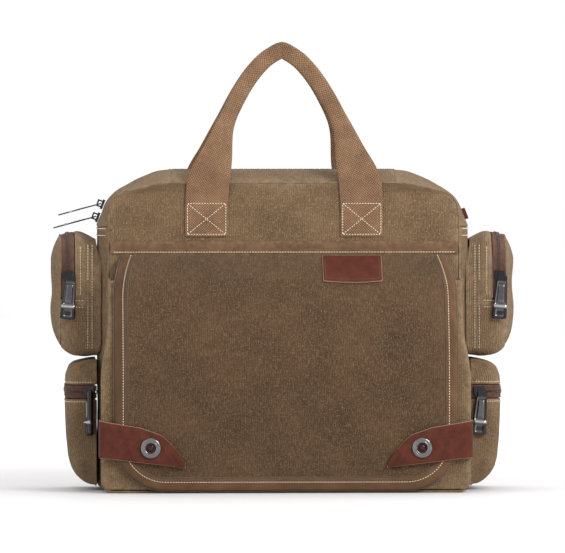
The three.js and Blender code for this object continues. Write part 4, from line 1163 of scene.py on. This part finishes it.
def pull(node, hinge):
    """A cast pull: its relief on the face, a flat back, and a rim that joins them."""
    along, across, out, low, high = pull_points(node, hinge)
    s = np.linspace(0, 1, 90)[:, None]
    w = np.linspace(-1, 1, 34)[None, :]
    half = mix(0.6, 1.0, s ** 0.8) * (high[1] - low[1]) / 2
    rounded = np.sqrt(np.clip(1 - ((0.06 - s) / 0.09).clip(0, 1) ** 2, 0.15, 1))
    half = half * rounded * (1 - 0.3 * smooth(s, 0.97, 1.0))
    thick = high[2] - low[2]
    relief = pull_relief(s, w)
    face = thick * (0.1 + 0.62 * relief) * np.sqrt(np.clip(1.02 - np.abs(w) ** 8, 0.2, 1))
    length = mix(low[0], high[0], s)
    width = (low[1] + high[1]) / 2 + half * w
    front = [along * a + across * b + out * c for a, b, c in
             zip((length + 0 * w).ravel(), width.ravel(), (low[2] + face).ravel())]
    back = [along * a + across * b + out * low[2] for a, b in zip((length + 0 * w).ravel(), width.ravel())]
    rows, columns = face.shape
    count = rows * columns
    faces = grid_faces(rows, columns) + [f[::-1] for f in grid_faces(rows, columns, start=count)]
    rim = list(range(columns)) + [r * columns + columns - 1 for r in range(1, rows)]
    rim += [(rows - 1) * columns + c for c in range(columns - 2, -1, -1)]
    rim += [r * columns for r in range(rows - 2, 0, -1)]
    for a, b in zip(rim, rim[1:] + rim[:1]):
        faces.append((b, a, a + count, b + count))
    # Painted highlights: the ridge and the steep slopes of the relief are painted pale where lamps would
    # glint, and the raised block is made paler; this mask reaches the metal through the mesh attribute.
    pale_block_and_highlight = 0.7 * np.exp(-((s - 0.71) / 0.022) ** 2) + 0.13 * smooth(relief, 1.05, 1.1)
    slope = np.abs(np.gradient(relief, axis=1)) + np.abs(np.gradient(relief, axis=0))
    pale_block_and_highlight = pale_block_and_highlight + 0.9 * np.clip(slope, 0, 0.35)
    return add(f"{node}_plate", front + back, faces, GUNMETAL, node, [node],
               wear_and_highlight=np.r_[pale_block_and_highlight.ravel(), np.zeros(count)])


for joint in frame["joints"]:
    if joint["name"].endswith("_pull_swing"):
        pull(joint["child"], np.array(joint["pos_m"]) / MM)


# ---------- CAD parts that stay ----------

SKINS = {"zip_end_tab": LEATHER_SKIN, "main_lining": LINING}
for node, obj in NODES.items():
    if obj.hide_render:
        continue
    skin = SKINS.get(node, BOARD)
    if node.endswith("_slider"):
        skin = GUNMETAL
        edge = obj.modifiers.new("rounded", "BEVEL")
        edge.width = 0.00022
        edge.segments = 2
    obj.data.materials.clear()
    obj.data.materials.append(skin)


# ---------- Floor, light and camera ----------

FLOOR_RADIUS = 6


def stage_floor():
    mesh = bpy.data.meshes.new("floor")
    angles = np.linspace(0, math.tau, 96, endpoint=False)
    rim = [(FLOOR_RADIUS * math.cos(a), FLOOR_RADIUS * math.sin(a), 0) for a in angles]
    mesh.from_pydata(rim, [], [tuple(range(96))])
    floor = bpy.data.objects.new("floor", mesh)
    bpy.context.scene.collection.objects.link(floor)
    n = Nodes("floor", roughness=0.6, specular=0.2)
    where = n.tree.nodes.new("ShaderNodeTexCoord").outputs["Object"]
    tone = n.noise(where, 1.2, 2.0)
    reach = n.math("SQRT", n.math("ADD", *[n.math("POWER", axis, 2.0) for axis in n.separate(where)[0:2]]))
    # Painted light: the floor goes from a darker tone near the bag to near white further out, making up for
    # the lamps' light falling off so that it fades into the white background.
    near = n.tint(tone, (0.62, 0.61, 0.615), (0.66, 0.65, 0.655))
    colour = n.tint(n.ramp(reach, 0.3, 1.4), near, (0.99, 0.99, 0.99))
    mesh.materials.append(n.finish(colour, n.bump(tone, 0.0001)))


def area_light(name, place, aim, size, power):
    light = bpy.data.lights.new(name, "AREA")
    light.shape, light.size, light.energy = "DISK", size, power
    obj = bpy.data.objects.new(name, light)
    obj.location = place
    obj.rotation_euler = (Vector(aim) - Vector(place)).to_track_quat("-Z", "Y").to_euler()
    bpy.context.scene.collection.objects.link(obj)


stage_floor()
area_light("key", (1.0, -1.1, 0.95), (0, 0, 0.15), 0.7, 20)
area_light("fill", (-1.7, -1.3, 1.1), (0, 0, 0.15), 1.6, 7)
area_light("top", (0.1, 0.5, 2.3), (0, 0, 0.2), 1.8, 22)
world = bpy.data.worlds.new("studio")
world.use_nodes = True
world.node_tree.nodes["Background"].inputs[0].default_value = (1.0, 1.0, 1.0, 1)
world.node_tree.nodes["Background"].inputs[1].default_value = 1.0
bpy.context.scene.world = world
bpy.context.scene.view_settings.view_transform = "Standard"

VIEW_AZIMUTH, VIEW_ELEVATION = math.radians(-2.5), math.radians(1.2)
VIEW_DISTANCE, VIEW_WIDTH, SENSOR = 7.0, 0.5025, 36
VIEW_TARGET = Vector((-0.0013, -0.02, 0.1905))
away = Vector((math.sin(VIEW_AZIMUTH) * math.cos(VIEW_ELEVATION),
               -math.cos(VIEW_AZIMUTH) * math.cos(VIEW_ELEVATION), math.sin(VIEW_ELEVATION)))
camera = bpy.data.objects.new("camera", bpy.data.cameras.new("camera"))
camera.data.sensor_width = SENSOR
camera.data.lens = SENSOR * VIEW_DISTANCE / VIEW_WIDTH
camera.location = VIEW_TARGET + away * VIEW_DISTANCE
camera.rotation_euler = (-away).to_track_quat("-Z", "Y").to_euler()
bpy.context.scene.collection.objects.link(camera)
bpy.context.scene.camera = camera
